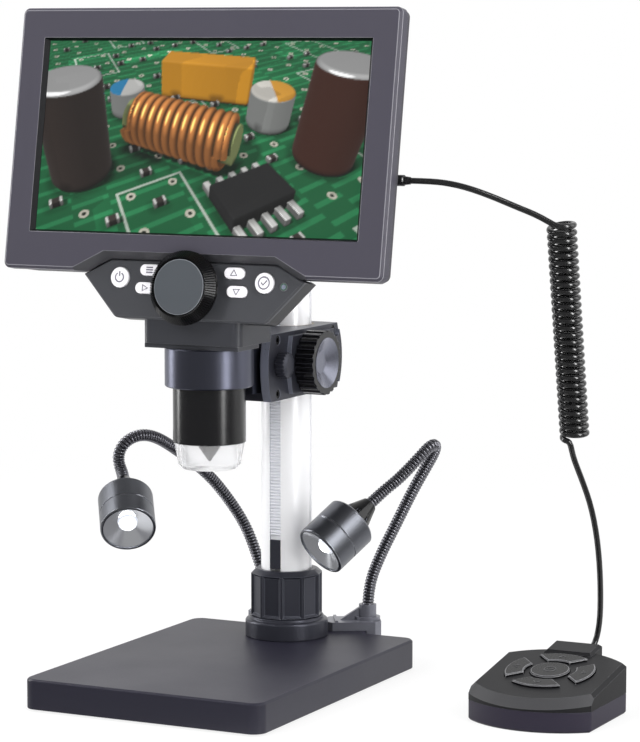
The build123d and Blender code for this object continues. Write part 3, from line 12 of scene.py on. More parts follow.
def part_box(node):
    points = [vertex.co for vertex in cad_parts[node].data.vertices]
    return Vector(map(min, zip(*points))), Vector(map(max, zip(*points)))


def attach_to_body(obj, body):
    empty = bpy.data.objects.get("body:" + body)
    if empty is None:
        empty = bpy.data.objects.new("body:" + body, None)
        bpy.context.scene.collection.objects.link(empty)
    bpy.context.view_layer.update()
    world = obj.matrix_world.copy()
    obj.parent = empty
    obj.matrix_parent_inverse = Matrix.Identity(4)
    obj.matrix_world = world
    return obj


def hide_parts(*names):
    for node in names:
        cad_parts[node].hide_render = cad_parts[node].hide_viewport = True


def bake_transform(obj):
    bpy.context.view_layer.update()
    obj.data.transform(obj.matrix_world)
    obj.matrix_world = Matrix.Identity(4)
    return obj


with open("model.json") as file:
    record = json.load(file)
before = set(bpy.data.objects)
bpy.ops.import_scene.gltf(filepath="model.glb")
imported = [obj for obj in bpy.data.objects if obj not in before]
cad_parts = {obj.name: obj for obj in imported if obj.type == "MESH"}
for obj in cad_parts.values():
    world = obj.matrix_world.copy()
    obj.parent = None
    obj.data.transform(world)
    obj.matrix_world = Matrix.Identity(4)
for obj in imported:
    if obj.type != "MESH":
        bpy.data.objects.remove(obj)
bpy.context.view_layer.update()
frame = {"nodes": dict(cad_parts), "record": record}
bpy.ops.object.select_all(action="DESELECT")

MM = 0.001
BODY_OF = {node: body for body, nodes in frame["record"]["behaviour"]["bodies"].items() for node in nodes}
SLOT_OF = {entry["node"]: entry["material_slot"] for entry in frame["record"]["subparts"]}

# ---------------- places and sizes: plain lengths are millimetres, places as vectors are metres
TILT = math.radians(9.81)
HEAD_ORIGIN = Vector((0, -24.8, 245.0)) * MM
HEAD_UP = Vector((0, math.sin(TILT), math.cos(TILT)))
HEAD_OUT = Vector((0, -math.cos(TILT), math.sin(TILT)))
HEAD_RIGHT = Vector((1, 0, 0))
PANEL_FACE = -5.5
BUTTON_FACE = -4.5
DIAL_CENTER = (0.0, -64.0)
DIAL_LOW = 1.3
DIAL_FACE_RISE = 5.6
DIAL_LOW_RADIUS = 15.7
DIAL_FACE_RADIUS = 11.3
DIAL_TEETH = 44
TOOTH_TAPER = 0.16
TOOTH_HEIGHT = 1.0
PICTURE_SIZE = (157.5, 84.0)
PICTURE_RISE = 1.6
PICTURE_FACE = -2.3
REVEAL_HALF = (81.2, 43.7)
RECESS_HALF = 62.0
RECESS_TOP = 45.0
REMOTE_SLOPE = math.radians(9.5)
REMOTE_PAD = Vector((150.0, 14.0, 19.19)) * MM
REMOTE_BUTTON_FACE = 1.2
REMOTE_PAD_RADIUS = 15.4
RIGHT_ARM = [
    (26.85, 90.5, 19.55), (26.85, 90.5, 33.0), (33.5, 90.3, 49.0), (41.6, 90.0, 64.0), (50.2, 89.8, 80.6),
    (57.0, 89.8, 92.0), (61.4, 88.9, 99.0), (63.6, 86.0, 103.4), (62.9, 80.6, 103.2), (59.4, 77.0, 98.3),
    (54.5, 74.8, 92.4), (49.0, 74.4, 87.0), (43.1, 72.6, 82.0), (38.0, 62.8, 74.5)]
LEFT_ARM = [
    (-26.85, 90.5, 19.55), (-26.85, 90.5, 31.0), (-31.2, 89.8, 44.0), (-35.9, 88.0, 57.8),
    (-41.9, 82.0, 71.2), (-47.1, 70.0, 85.3), (-53.8, 50.0, 99.2), (-56.8, 37.0, 106.0),
    (-60.0, 27.6, 107.6), (-63.8, 21.4, 104.6), (-66.4, 20.0, 99.0), (-66.4, 21.0, 93.9),
    (-62.9, 18.6, 89.7), (-58.9, 12.6, 85.4)]
ARM_ROUTES = {"right": RIGHT_ARM, "left": LEFT_ARM}
OPTIC_AXIS = Vector((0.0, -14.3)) * MM
CONE_TOP = 113.3
CONE_TIP = 103.8
CONE_TIP_SHARE = 0.12
KNOB_AXIS = (41.6, 143.7)
DISH_RADII = (4.6, 11.4)
DISH_DEPTH = 3.5
DISH_FLOOR_RADIUS = 4.7
DISH_FLOOR_THICKNESS = 0.6
DISH_FLOOR_LOW = -1.9
DISH_INSET = 1.6
# Degrees about the column and width of each line.
COLUMN_LINES = ((-104.0, 0.5), (-70.0, 0.45), (-66.0, 0.45), (-62.0, 0.45), (-13.0, 0.7), (11.0, 0.7))
COLUMN_LINE_THICKNESS = 0.2
COLUMN_LINE_SUNK = 0.04
NUT_RIB = 1.1
NUT_SINK = 0.9
LAMP_FACE = 30.0
LAMP_RECESS = 4.0
REFLECTOR_RADII = (4.2, 11.15)
LIGHT_RADIUS = 3.0
HOSE_CORE = 2.3
HOSE_RADIUS = 2.1
HOSE_WIRE = 0.72
HOSE_PITCH = 1.5
INDICATOR_SPOT = (44.7, -61.3)
INDICATOR_RADIUS = 1.25
INDICATOR_RING = (1.6, 0.35)
# What picks faces: a least area in square millimetres for the nut's sunk flats, and limits of the normals
# of the plate faces that get a painted highlight and of the remote's front slope that gets a painted sheen.
NUT_FLAT_AREA = 40
PLATE_FRONT = -0.6
BROW_FRONT = -0.3
BROW_LEAST_RISE = 0.12
BROW_MOST_RISE = 0.93
# Degrees from which an edge is rounded, and from which it stays sharp on plain and on round pieces.
EDGE_ANGLE = 32
CREASE_ANGLE = 38
ROUND_ANGLE = 40


def head_matrix(u, v, w):
    """Placement on the screen head: u to the right, v up the face, w out of it, in millimetres."""
    origin = HEAD_ORIGIN + (HEAD_RIGHT * u + HEAD_UP * v + HEAD_OUT * w) * MM
    return placement(origin, HEAD_RIGHT, HEAD_OUT)


def placement(origin, right, out):
    """Matrix with its x axis along right and its z axis along out."""
    z = out.normalized()
    x = (right - z * right.dot(z)).normalized()
    y = z.cross(x)
    matrix = Matrix((x, y, z)).transposed().to_4x4()
    matrix.translation = origin
    return matrix


def linked(name, data):
    """New object with its data, in the scene."""
    made = bpy.data.objects.new(name, data)
    bpy.context.scene.collection.objects.link(made)
    return made


# ---------------- camera
CAMERA_PLACE = Vector((627.6, -1166.5, 289.3)) * MM
CAMERA_AHEAD = Vector((-0.4429, 0.8898, -0.1101)).normalized()
CAMERA_RIGHT = Vector((0.8952, 0.4456, 0)).normalized()
CAMERA_LENS = 169.74


def make_camera():
    """Long lens from the front right, a little above the middle."""
    data = bpy.data.cameras.new("camera")
    data.sensor_fit = "HORIZONTAL"
    data.sensor_width = 36.0
    data.lens = CAMERA_LENS
    data.clip_end = 20
    camera = linked("camera", data)
    camera.matrix_world = placement(CAMERA_PLACE, CAMERA_RIGHT, -CAMERA_AHEAD)
    bpy.context.scene.camera = camera


make_camera()


# ---------------- colours and shader groups
def shade(red, green, blue):
    """Linear colour from the 0 to 255 values it should show."""
    def linear(value):
        value /= 255
        return value / 12.92 if value <= 0.04045 else ((value + 0.055) / 1.055) ** 2.4
    return (linear(red), linear(green), linear(blue), 1.0)


def new_group(name, inputs, outputs):
    """Empty shader group with named sockets; returns the group and its two end nodes."""
    group = bpy.data.node_groups.new(name, "ShaderNodeTree")
    for label, kind, default in inputs:
        socket = group.interface.new_socket(label, in_out="INPUT", socket_type=kind)
        if default is not None:
            socket.default_value = default
    for label, kind in outputs:
        group.interface.new_socket(label, in_out="OUTPUT", socket_type=kind)
    source = group.nodes.new("NodeGroupInput")
    target = group.nodes.new("NodeGroupOutput")
    return group, source, target


def node(tree, kind, inputs=(), **values):
    """New node in a tree; inputs pairs its inputs with sockets or plain values, values sets it by name."""
    made = tree.nodes.new(kind)
    for key, value in values.items():
        if hasattr(made, key):
            setattr(made, key, value)
        else:
            made.inputs[key.replace("_", " ")].default_value = value
    for target, source in inputs:
        if isinstance(source, bpy.types.NodeSocket):
            tree.links.new(source, made.inputs[target])
        else:
            made.inputs[target].default_value = source
    return made


def math_node(tree, operation, *terms, **values):
    """Result of a Math node on sockets or plain values."""
    return node(tree, "ShaderNodeMath", enumerate(terms), operation=operation, **values).outputs[0]


def map_range(tree, value, start, end, to_start, to_end):
    """Result of a Map Range node, from the span start to end to the span to_start to to_end."""
    ends = [("From Min", start), ("From Max", end), ("To Min", to_start), ("To Max", to_end)]
    return node(tree, "ShaderNodeMapRange", [("Value", value)] + ends).outputs[0]


def finish_group():
    """Fine grain, slow mottling and uneven gloss for any surface."""
    group, source, target = new_group(
        "surface finish",
        [("Vector", "NodeSocketVector", None), ("Color", "NodeSocketColor", (0.5, 0.5, 0.5, 1)),
         ("Variation", "NodeSocketFloat", 0.1), ("Roughness", "NodeSocketFloat", 0.5),
         ("Roughness Spread", "NodeSocketFloat", 0.1), ("Grain Size", "NodeSocketFloat", 1500.0),
         ("Grain Depth", "NodeSocketFloat", 0.1), ("Mottle Size", "NodeSocketFloat", 25.0)],
        [("Color", "NodeSocketColor"), ("Roughness", "NodeSocketFloat"), ("Normal", "NodeSocketVector")])
    out = source.outputs
    grain = node(group, "ShaderNodeTexNoise", [("Vector", out["Vector"]), ("Scale", out["Grain Size"])],
                 Detail=3.0)
    mottle = node(group, "ShaderNodeTexNoise", [("Vector", out["Vector"]), ("Scale", out["Mottle Size"])],
                  Detail=4.0)
    both = math_node(group, "ADD", grain.outputs["Fac"], mottle.outputs["Fac"])
    centred = math_node(group, "SUBTRACT", both, 1.0)
    scale = math_node(group, "ADD", math_node(group, "MULTIPLY", centred, out["Variation"]), 1.0)
    tint = node(group, "ShaderNodeVectorMath", [(0, out["Color"]), ("Scale", scale)], operation="SCALE")
    rough = math_node(group, "MULTIPLY_ADD", centred, out["Roughness Spread"], out["Roughness"],
                      use_clamp=True)
    bump = node(group, "ShaderNodeBump",
                [("Height", grain.outputs["Fac"]), ("Strength", out["Grain Depth"])], Distance=0.00008)
    for socket, made in (("Color", tint.outputs[0]), ("Roughness", rough), ("Normal", bump.outputs[0])):
        group.links.new(made, target.inputs[socket])
    return group


FINISH = finish_group()
NO_STRETCH = (1, 1, 1)


def shader_material(name):
    """New material with nodes; returns it, its tree and its shader."""
    made = bpy.data.materials.new(name)
    made.use_nodes = True
    return made, made.node_tree, made.node_tree.nodes["Principled BSDF"]


def set_sockets(shader, **values):
    """Sets a shader's sockets to plain values, by name."""
    for socket, value in values.items():
        shader.inputs[socket.replace("_", " ")].default_value = value


def material(name, color, roughness, metallic=0.0, specular=0.5, variation=0.08, spread=0.12,
             grain=1500.0, depth=0.12, mottle=25.0, stretch=NO_STRETCH, **sockets):
    """Principled material on object coordinates; stretch draws its grain out along an axis."""
    made, tree, shader = shader_material(name)
    place = node(tree, "ShaderNodeTexCoord")
    mapping = node(tree, "ShaderNodeMapping", [("Vector", place.outputs["Object"]), ("Scale", stretch)])
    group = node(tree, "ShaderNodeGroup", [("Vector", mapping.outputs[0])], node_tree=FINISH, Color=color,
                 Variation=variation, Roughness=roughness, Roughness_Spread=spread, Grain_Size=grain,
                 Grain_Depth=depth, Mottle_Size=mottle)
    for label, socket in (("Color", "Base Color"), ("Roughness", "Roughness"), ("Normal", "Normal")):
        tree.links.new(group.outputs[label], shader.inputs[socket])
    set_sockets(shader, Metallic=metallic, Specular_IOR_Level=specular, **sockets)
    return made


BASE_PAINT = material("base paint", shade(37, 36, 48), 0.42, variation=0.03, depth=0.25, grain=2200,
                      specular=0.38)
BEZEL = material("bezel plastic", shade(68, 66, 76), 0.45, variation=0.02, depth=0.15, grain=3000,
                 specular=0.3)
# Lighter grey on the bezel's rounded edges: a painted highlight.
BEZEL_EDGE_HIGHLIGHT = material("bezel edge painted highlight", shade(128, 127, 134), 0.3, variation=0.02)
REVEAL = material("screen edge", shade(16, 16, 19), 0.5, variation=0.02, specular=0.2)
BACK_SHELL = material("rear shell plastic", shade(66, 65, 71), 0.5, variation=0.04, depth=0.4, grain=1800,
                      specular=0.3)
PANEL = material("panel plastic", shade(68, 69, 73), 0.4, variation=0.02, depth=0.1, grain=3000,
                 specular=0.3)
RECESS = material("panel recess", shade(66, 66, 70), 0.4, variation=0.02, specular=0.35)
# Lighter grey on the rounded edges of the control panel and the neck block: a painted highlight. The
# indicator's ring takes the same grey.
PANEL_EDGE_HIGHLIGHT = material("panel edge painted highlight", shade(98, 99, 103), 0.3, variation=0.02)
PANEL_SHELL = material("panel shell plastic", shade(40, 40, 43), 0.4, variation=0.04, specular=0.3)
DIAL = material("dial rubber", shade(13, 13, 15), 0.24, variation=0.05, specular=0.3)
# Darker than the dial rubber, in the gaps between its teeth: painted shade.
DIAL_GAP_SHADE = material("dial grooves painted shade", shade(5, 5, 6), 0.4, variation=0.05, specular=0.2)
DIAL_FACE = material("dial face", shade(73, 77, 82), 0.42, variation=0.02, depth=0.1, grain=3000,
                     specular=0.3)
# Bright grey of the thin ring round the dial's cap: a painted highlight of its edge.
DIAL_RIM_HIGHLIGHT = material("dial rim painted highlight", shade(130, 134, 140), 0.3, variation=0.02)
BUTTON = material("button plastic", shade(250, 248, 252), 0.35, variation=0.01, spread=0.05, depth=0.05)
ICON = material("icon ink", shade(104, 102, 118), 0.5, variation=0.02)
NECK = material("neck paint", shade(54, 55, 60), 0.36, variation=0.03, depth=0.15, specular=0.35)
RING = material("ring anodising", shade(104, 106, 120), 0.34, metallic=1.0, variation=0.04, spread=0.08,
                grain=900, depth=0.06, stretch=(1, 1, 0.05))
TUBE = material("tube gloss", shade(10, 10, 13), 0.24, variation=0.03, depth=0.02, specular=0.75)
TIP = material("tip plastic", shade(254, 254, 255), 0.2, variation=0.01, spread=0.05, depth=0.02,
               Transmission_Weight=0.86, IOR=1.18)
ALUMINIUM = material("column aluminium", shade(252, 252, 254), 0.3, metallic=0.2, variation=0.01,
                     spread=0.06, grain=700, depth=0.03, stretch=(1, 1, 0.02))
# Grey of the thin lines along the column: painted shade of its grooves.
COLUMN_GROOVE_SHADE = material("column groove painted shade", shade(160, 163, 176), 0.35, metallic=0.2, variation=0.02)
RACK = material("rack steel", shade(240, 241, 246), 0.35, metallic=0.2, variation=0.03)
GEAR = material("pinion steel", shade(170, 170, 174), 0.3, metallic=1.0, variation=0.05)
CASTING = material("dark anodising", shade(62, 63, 72), 0.34, metallic=0.55, variation=0.04, depth=0.12)
# Lighter anodising on the rounded edges of the nut and the lamp necks: a painted highlight.
CASTING_EDGE_HIGHLIGHT = material("dark anodising edge painted highlight", shade(112, 115, 126), 0.3, metallic=0.5, variation=0.06)
PLATE = material("plate anodising", shade(58, 59, 68), 0.34, metallic=0.6, variation=0.05, grain=900,
                 stretch=(1, 0.06, 1), depth=0.1)
# Lighter anodising on the rounded edges of the plates and clips, and on the plates' front faces: a painted
# highlight.
PLATE_EDGE_HIGHLIGHT = material("plate edge painted highlight", shade(126, 129, 142), 0.3, metallic=0.4, variation=0.04)
DISH = material("dish metal", shade(134, 136, 149), 0.24, metallic=0.85, variation=0.03, spread=0.05,
                grain=600, depth=0.03)
BLACK_METAL = material("black oxide", shade(10, 10, 12), 0.4, metallic=0.2, variation=0.06, specular=0.3)
CLIP = material("clip anodising", shade(120, 121, 130), 0.34, metallic=0.4, variation=0.03)
KNOB = material("knob plastic", shade(8, 8, 10), 0.16, variation=0.05, depth=0.05)
# Lighter than the knob plastic: on the focusing knobs' rounded edges it is a painted highlight. The lock
# knob's rounded edges take it too, darker than its face.
KNOB_EDGE = material("knob edge", shade(40, 40, 45), 0.2, variation=0.05, depth=0.05)
BRASS = material("brass", shade(120, 108, 84), 0.4, metallic=1.0, variation=0.06)
STEEL = material("zinc steel", shade(160, 160, 165), 0.35, metallic=0.9, variation=0.06)
RUBBER = material("rubber", shade(22, 22, 23), 0.75, variation=0.08, depth=0.4)
CORD = material("cord sheath", shade(18, 18, 19), 0.2, variation=0.04, depth=0.03, specular=1.0)
REMOTE = material("remote plastic", shade(28, 28, 30), 0.46, variation=0.04, depth=0.3, grain=2200,
                  specular=0.22)
# Light grey on the rounded edges of the remote's top and of its buttons: a painted highlight.
REMOTE_EDGE_HIGHLIGHT = material("remote edge painted highlight", shade(112, 112, 115), 0.34, variation=0.04, depth=0.2, grain=2200)
REMOTE_SHELL = material("remote shell", shade(42, 38, 52), 0.42, variation=0.04, depth=0.3, grain=2200,
                        specular=0.35)
# Lighter grey on the front slope of the remote's top: a painted sheen.
REMOTE_BROW_SHEEN = material("remote front slope painted sheen", shade(62, 62, 64), 0.32, variation=0.04, depth=0.3, grain=2200,
                       specular=0.4)
REMOTE_BUTTON = material("remote button", shade(12, 12, 14), 0.26, variation=0.04, specular=0.2)
MARK = material("mark ink", shade(84, 84, 86), 0.5, variation=0.02)
LAMP = material("lamp satin metal", shade(108, 110, 116), 0.34, metallic=0.95, variation=0.0, spread=0.0,
                depth=0.0)
# Brighter metal on the rounded edges of the lamp heads: a painted highlight.
LAMP_EDGE_HIGHLIGHT = material("lamp edge painted highlight", shade(150, 152, 158), 0.2, metallic=0.95, variation=0.02)
ARM = material("arm coating", shade(124, 124, 130), 0.2, metallic=0.92, variation=0.03, depth=0.0)
ARM_CORE = material("arm core", shade(8, 8, 9), 0.5, variation=0.05, specular=0.2)
# Its faint emission is a painted glow of the light in the polished bowl.
REFLECTOR = material("reflector", shade(200, 202, 208), 0.16, metallic=1.0, variation=0.02, depth=0.02,
                     Emission_Color=shade(250, 252, 255), Emission_Strength=0.18)
BOARD = material("circuit board", shade(22, 84, 48), 0.4, variation=0.2, mottle=300)
BATTERY = material("battery film", shade(60, 96, 150), 0.4, variation=0.05)
LENS_BLACK = material("lens barrel", shade(4, 4, 5), 0.5, variation=0.03, specular=0.15)
INDICATOR = material("indicator lens", shade(120, 126, 142), 0.2, variation=0.02)


def lit_material(name, color, strength):
    """Plastic that also gives off light."""
    return material(name, color, 0.3, variation=0.02, depth=0.02, Emission_Color=color,
                    Emission_Strength=strength)


LED = lit_material("led white", shade(255, 255, 255), 10.0)
LED_BODY = lit_material("led body", shade(235, 238, 244), 0.6)


def picture_material():
    """Lit screen surface that shows the colours painted on the mesh."""
    made, tree, shader = shader_material("lit picture")
    colors = node(tree, "ShaderNodeAttribute", attribute_name="picture")
    tree.links.new(colors.outputs["Color"], shader.inputs["Emission Color"])
    set_sockets(shader, Base_Color=(0.01, 0.01, 0.01, 1), Emission_Strength=1.0, Roughness=0.3,
                Specular_IOR_Level=0.15)
    return made


PICTURE = picture_material()


# ---------------- making pieces
def attach(piece, body, slot_name, *replaced):
    """Every new piece rides a body and may stand for CAD nodes; the slot name is not used."""
    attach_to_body(piece, body)
    if replaced:
        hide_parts(*replaced)
    return piece


def stand_in(piece, cad_node):
    """Puts a piece in the place of a CAD node, on its body."""
    return attach(piece, BODY_OF[cad_node], SLOT_OF[cad_node], cad_node)


def coat(piece, *finishes):
    """Gives a piece its materials, in the order of their numbers."""
    piece.data.materials.clear()
    for finish in finishes:
        piece.data.materials.append(finish)


def just_made(name):
    """The object that the last operator made, under its name."""
    made = bpy.context.active_object
    made.name = name
    return made


def choose(piece):
    """Makes one object the only selected and active one."""
    bpy.ops.object.select_all(action="DESELECT")
    piece.select_set(True)
    bpy.context.view_layer.objects.active = piece


def apply_modifiers(piece):
    """Applies all modifiers of a piece in order."""
    choose(piece)
    for modifier in list(piece.modifiers):
        bpy.ops.object.modifier_apply(modifier=modifier.name)


def bake_place(piece, matrix=None):
    """Puts a piece's place into its mesh, so that its object sits at the origin."""
    choose(piece)
    if matrix is not None:
        piece.matrix_world = matrix
    bpy.ops.object.transform_apply(location=True, rotation=True, scale=True)


@contextmanager
def editing():
    """Edit mode on the active piece, with all of its mesh selected."""
    bpy.ops.object.mode_set(mode="EDIT")
    bpy.ops.mesh.select_all(action="SELECT")
    yield
    bpy.ops.object.mode_set(mode="OBJECT")


def inset_faces(piece, wanted, thickness, depth):
    """Insets by itself each face that wanted picks, in millimetres; a negative depth sinks it."""
    with editing():
        bpy.ops.mesh.select_all(action="DESELECT")
    for face in piece.data.polygons:
        face.select = wanted(face)
    bpy.ops.object.mode_set(mode="EDIT")
    bpy.ops.mesh.inset(thickness=thickness * MM, depth=depth * MM, use_individual=True)
    bpy.ops.object.mode_set(mode="OBJECT")


def finish_faces(piece, wanted, number):
    """Gives each face that wanted picks the material of that number."""
    for face in piece.data.polygons:
        if wanted(face):
            face.material_index = number


def open_cone(name, radii, depth, sides):
    """Cone without ends about the z axis, with its radii below and above, in millimetres."""
    bpy.ops.mesh.primitive_cone_add(vertices=sides, radius1=radii[0] * MM, radius2=radii[1] * MM,
                                    depth=depth * MM, end_fill_type="NOTHING")
    return just_made(name)


def flat_dome(name, radius, height_share, segments, finish, matrix):
    """Smooth ball with its height scaled by height_share, put in its place by the matrix."""
    bpy.ops.mesh.primitive_uv_sphere_add(segments=segments, ring_count=segments // 2, radius=radius * MM)
    dome = just_made(name)
    dome.scale = (1, 1, height_share)
    bake_place(dome)
    coat(dome, finish)
    bpy.ops.object.shade_smooth()
    bake_place(dome, matrix)
    return dome


def join_into(piece, other):
    """Makes another object part of a piece."""
    choose(piece)
    other.select_set(True)
    bpy.ops.object.join()


def round_edges(piece, width, segments=2, angle=30, miter="MITER_SHARP", number=-1):
    """Rounds by width millimetres the edges sharper than angle; number is the material they get."""
    bevel = piece.modifiers.new("edges", "BEVEL")
    bevel.width = width * MM
    bevel.segments = segments
    bevel.limit_method = "ANGLE"
    bevel.angle_limit = math.radians(angle)
    bevel.miter_outer = miter
    bevel.material = number
    apply_modifiers(piece)


def copied(cad_node):
    """Loose copy of a CAD node's mesh with its doubles merged and its flat faces joined."""
    piece = frame["nodes"][cad_node].copy()
    piece.data = piece.data.copy()
    piece.name = f"{cad_node}_shell"
    for key in list(piece.keys()):
        if key.startswith("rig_"):
            del piece[key]
    bpy.context.scene.collection.objects.link(piece)
    piece.parent = None
    choose(piece)
    with editing():
        bpy.ops.mesh.remove_doubles(threshold=0.000002)
        bpy.ops.mesh.dissolve_limited(angle_limit=math.radians(0.5))
    return piece


def softened(cad_node, width, finish, painted_edge=None, segments=2):
    """Copy of a CAD node with its edges rounded by width millimetres, in place of the node; the edge
    material, where given, colours the rounded edges, on most pieces a lighter painted highlight.
    """
    piece = copied(cad_node)
    coat(piece, *filter(None, (finish, painted_edge)))
    round_edges(piece, width, segments, EDGE_ANGLE, "MITER_ARC", 1 if painted_edge else -1)
    smooth(piece)
    return stand_in(piece, cad_node)


def smooth(piece):
    """Smooth shading with sharp creases kept, and flat faces left flat."""
    choose(piece)
    bpy.ops.object.shade_smooth_by_angle(angle=math.radians(CREASE_ANGLE))
    weighted = piece.modifiers.new("normals", "WEIGHTED_NORMAL")
    weighted.keep_sharp = True
    weighted.weight = 100
    apply_modifiers(piece)


def paint(cad_node, finish):
    """Gives a CAD node its material."""
    coat(frame["nodes"][cad_node], finish)


# ---------------- cord
CORD_DIAMETER = 2.6
CURL_DIAMETER = 13.0
CURL_TOP = Vector((154.8, 10.0, 214.0))
CURL_BOTTOM = Vector((154.2, 30.0, 116.0))
CURL_TURNS = 30
CURL_END_GAP = 1.2
POINTS_PER_TURN = 12
UPPER_ROUTE = [
    (96.5, -14.3, 229.2), (104.5, -14.3, 229.2), (113.0, -13.5, 228.6), (121.4, -10.6, 226.6),
    (130.4, -5.4, 222.8), (139.2, -1.0, 218.6), (147.4, 2.7, 215.0), (154.8, 4.9, 212.0)]
LOWER_ROUTE = [
    (152.0, 26.6, 119.0), (153.2, 30.2, 110.0), (155.4, 35.4, 99.6), (157.3, 41.2, 88.0),
    (157.8, 47.4, 74.0), (157.1, 53.2, 59.2), (155.6, 58.4, 45.4), (154.0, 62.2, 33.6), (152.3, 62.6, 24.4),
    (150.7, 58.4, 19.2), (150.0, 52.2, 17.0), (150.0, 47.0, 17.0)]


def curl_points():
    """Control points of the curly stretch: even turns about the line from its top to its bottom."""
    axis = (CURL_BOTTOM - CURL_TOP).normalized()
    front = (Vector((0, -1, 0)) - axis * -axis.y).normalized()
    side = axis.cross(front)
    radius = (CURL_DIAMETER - CORD_DIAMETER) / 2 / math.cos(math.pi / POINTS_PER_TURN)
    start = CURL_TOP + axis * (CORD_DIAMETER / 2 + CURL_END_GAP)
    length = (CURL_BOTTOM - CURL_TOP).length - CORD_DIAMETER - 2 * CURL_END_GAP
    count = CURL_TURNS * POINTS_PER_TURN
    points = []
    for number in range(count + 1):
        turn = 2 * math.pi * number / POINTS_PER_TURN
        place = start + axis * (length * number / count)
        points.append(place + (front * math.cos(turn) - side * math.sin(turn)) * radius)
    return points


def spline_curve(name, points, radius, resolution=4):
    """NURBS curve of one open spline through the control points, in millimetres."""
    data = bpy.data.curves.new(name, "CURVE")
    data.dimensions = "3D"
    spline = data.splines.new("NURBS")
    spline.points.add(len(points) - 1)
    for target, point in zip(spline.points, points):
        target.co = (*(Vector(point) * MM), 1.0)
    spline.order_u = 3
    spline.use_endpoint_u = True
    spline.resolution_u = resolution
    data.bevel_depth = radius * MM
    data.bevel_resolution = 4
    data.use_fill_caps = True
    return data


def cord_mesh(name, route, radius):
    """Mesh of a cord's curve: its bare line, or the tube about it where it has a radius."""
    holder = bpy.data.objects.new(name, spline_curve(name, route, radius, resolution=3))
    mesh = bpy.data.meshes.new_from_object(holder)
    bpy.data.objects.remove(holder)
    return mesh


def make_cord():
    """Curly cord from the plug on the screen to the remote, as one smooth tube."""
    route = [*map(Vector, UPPER_ROUTE[:-1]), *curl_points(), *map(Vector, LOWER_ROUTE[1:])]
    line = [vertex.co.copy() for vertex in cord_mesh("cord line", route, 0.0).vertices]
    cord = linked("cord", cord_mesh("cord tube", route, CORD_DIAMETER / 2))
    choose(cord)
    bpy.ops.object.shade_smooth_by_angle(angle=math.radians(ROUND_ANGLE))
    coat(cord, CORD)
    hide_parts("cord_upper", "cord_curl", "cord_lower")
    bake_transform(cord)


make_cord()


# ---------------- stand
softened("base_shell", 0.9, BASE_PAINT, segments=3)
paint("base_plate", STEEL)
paint("base_pad", RUBBER)
paint("base_screws", STEEL)
softened("column_flange", 0.5, CASTING)
paint("column_tube", ALUMINIUM)


def make_column_lines():
    """Fine grey lines along the column, beside its rack and at the lips of the slot in its side: painted
    shade of its grooves.
    """
    low, high = (Vector(corner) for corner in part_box("column_tube"))
    middle = (low + high) / 2
    radius = (high.x - low.x) / 2
    up = Vector((0, 0, 1))
    for number, (degrees, width) in enumerate(COLUMN_LINES):
        out = Vector((math.cos(math.radians(degrees)), math.sin(math.radians(degrees)), 0))
        bpy.ops.mesh.primitive_cube_add(size=1)
        line = just_made(f"column_line_{number + 1}")
        line.scale = (width * MM, COLUMN_LINE_THICKNESS * MM, high.z - low.z - 2 * MM)
        bake_place(line)
        coat(line, COLUMN_GROOVE_SHADE)
        place = middle + out * (radius - COLUMN_LINE_SUNK * MM)
        bake_place(line, placement(place, out.cross(up), up))
        attach(line, "stand", "bright_aluminium")


make_column_lines()
softened("column_cap", 0.3, KNOB)


def make_nut():
    """Clamp nut whose flats are sunk between ribs; its rounded edges are painted lighter as a painted
    highlight.
    """
    nut = copied("column_nut")
    coat(nut, CASTING, CASTING_EDGE_HIGHLIGHT)
    axis_y = sum(corner[1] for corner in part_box("column_nut")) / 2

    def is_flat(face):
        outward = face.center.x * face.normal.x + (face.center.y - axis_y) * face.normal.y
        return abs(face.normal.z) < 0.2 and face.area > NUT_FLAT_AREA * MM * MM and outward > 0

    inset_faces(nut, is_flat, NUT_RIB, -NUT_SINK)
    # The rounded edges take the lighter anodising of a painted highlight.
    round_edges(nut, 0.25, angle=25, number=1)
    smooth(nut)
    stand_in(nut, "column_nut")


make_nut()
paint("column_rack", RACK)
softened("rack_stop", 0.3, CASTING)


# ---------------- carriage
softened("carriage_block", 0.6, CASTING)
for side_name in ("right", "left"):
    plate = softened(f"side_plate_{side_name}", 0.7, PLATE, PLATE_EDGE_HIGHLIGHT)
    # Faces towards the front take the lighter anodising too: a painted highlight of the light on that side.
    finish_faces(plate, lambda face: face.normal.y < PLATE_FRONT, 1)
paint("carriage_screws", BLACK_METAL)
paint("carriage_bushes", BRASS)
paint("pinion_shaft", GEAR)
# The focusing knobs' rounded edges are painted lighter: a painted highlight.
softened("focus_knob_right", 0.4, KNOB, KNOB_EDGE)
softened("focus_knob_left", 0.4, KNOB, KNOB_EDGE)
softened("lock_knob", 0.3, CASTING, KNOB_EDGE)


def make_knob_dishes():
    """Turned metal cone set into the outer face of each focusing knob."""
    for side_name, side in (("right", 1), ("left", -1)):
        outer = max(abs(corner[0]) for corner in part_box(f"focus_knob_{side_name}")) / MM
        dish = open_cone(f"knob_dish_{side_name}", DISH_RADII, DISH_DEPTH, 96)
        bpy.ops.mesh.primitive_cylinder_add(vertices=96, radius=DISH_FLOOR_RADIUS * MM,
                                            depth=DISH_FLOOR_THICKNESS * MM,
                                            location=(0, 0, DISH_FLOOR_LOW * MM))
        join_into(dish, bpy.context.active_object)
        wall = dish.modifiers.new("wall", "SOLIDIFY")
        wall.thickness = 0.25 * MM
        wall.offset = 0
        apply_modifiers(dish)
        smooth(dish)
        coat(dish, DISH)
        place = Vector((side * (outer - DISH_INSET), *KNOB_AXIS)) * MM
        bake_place(dish, placement(place, Vector((0, 0, 1)), Vector((side, 0, 0))))
        attach(dish, "pinion", "blue_grey_metal")


make_knob_dishes()
softened("ring_holder", 0.3, RING)
softened("lens_tube", 0.3, TUBE)
softened("diffuser_tip", 0.2, TIP)


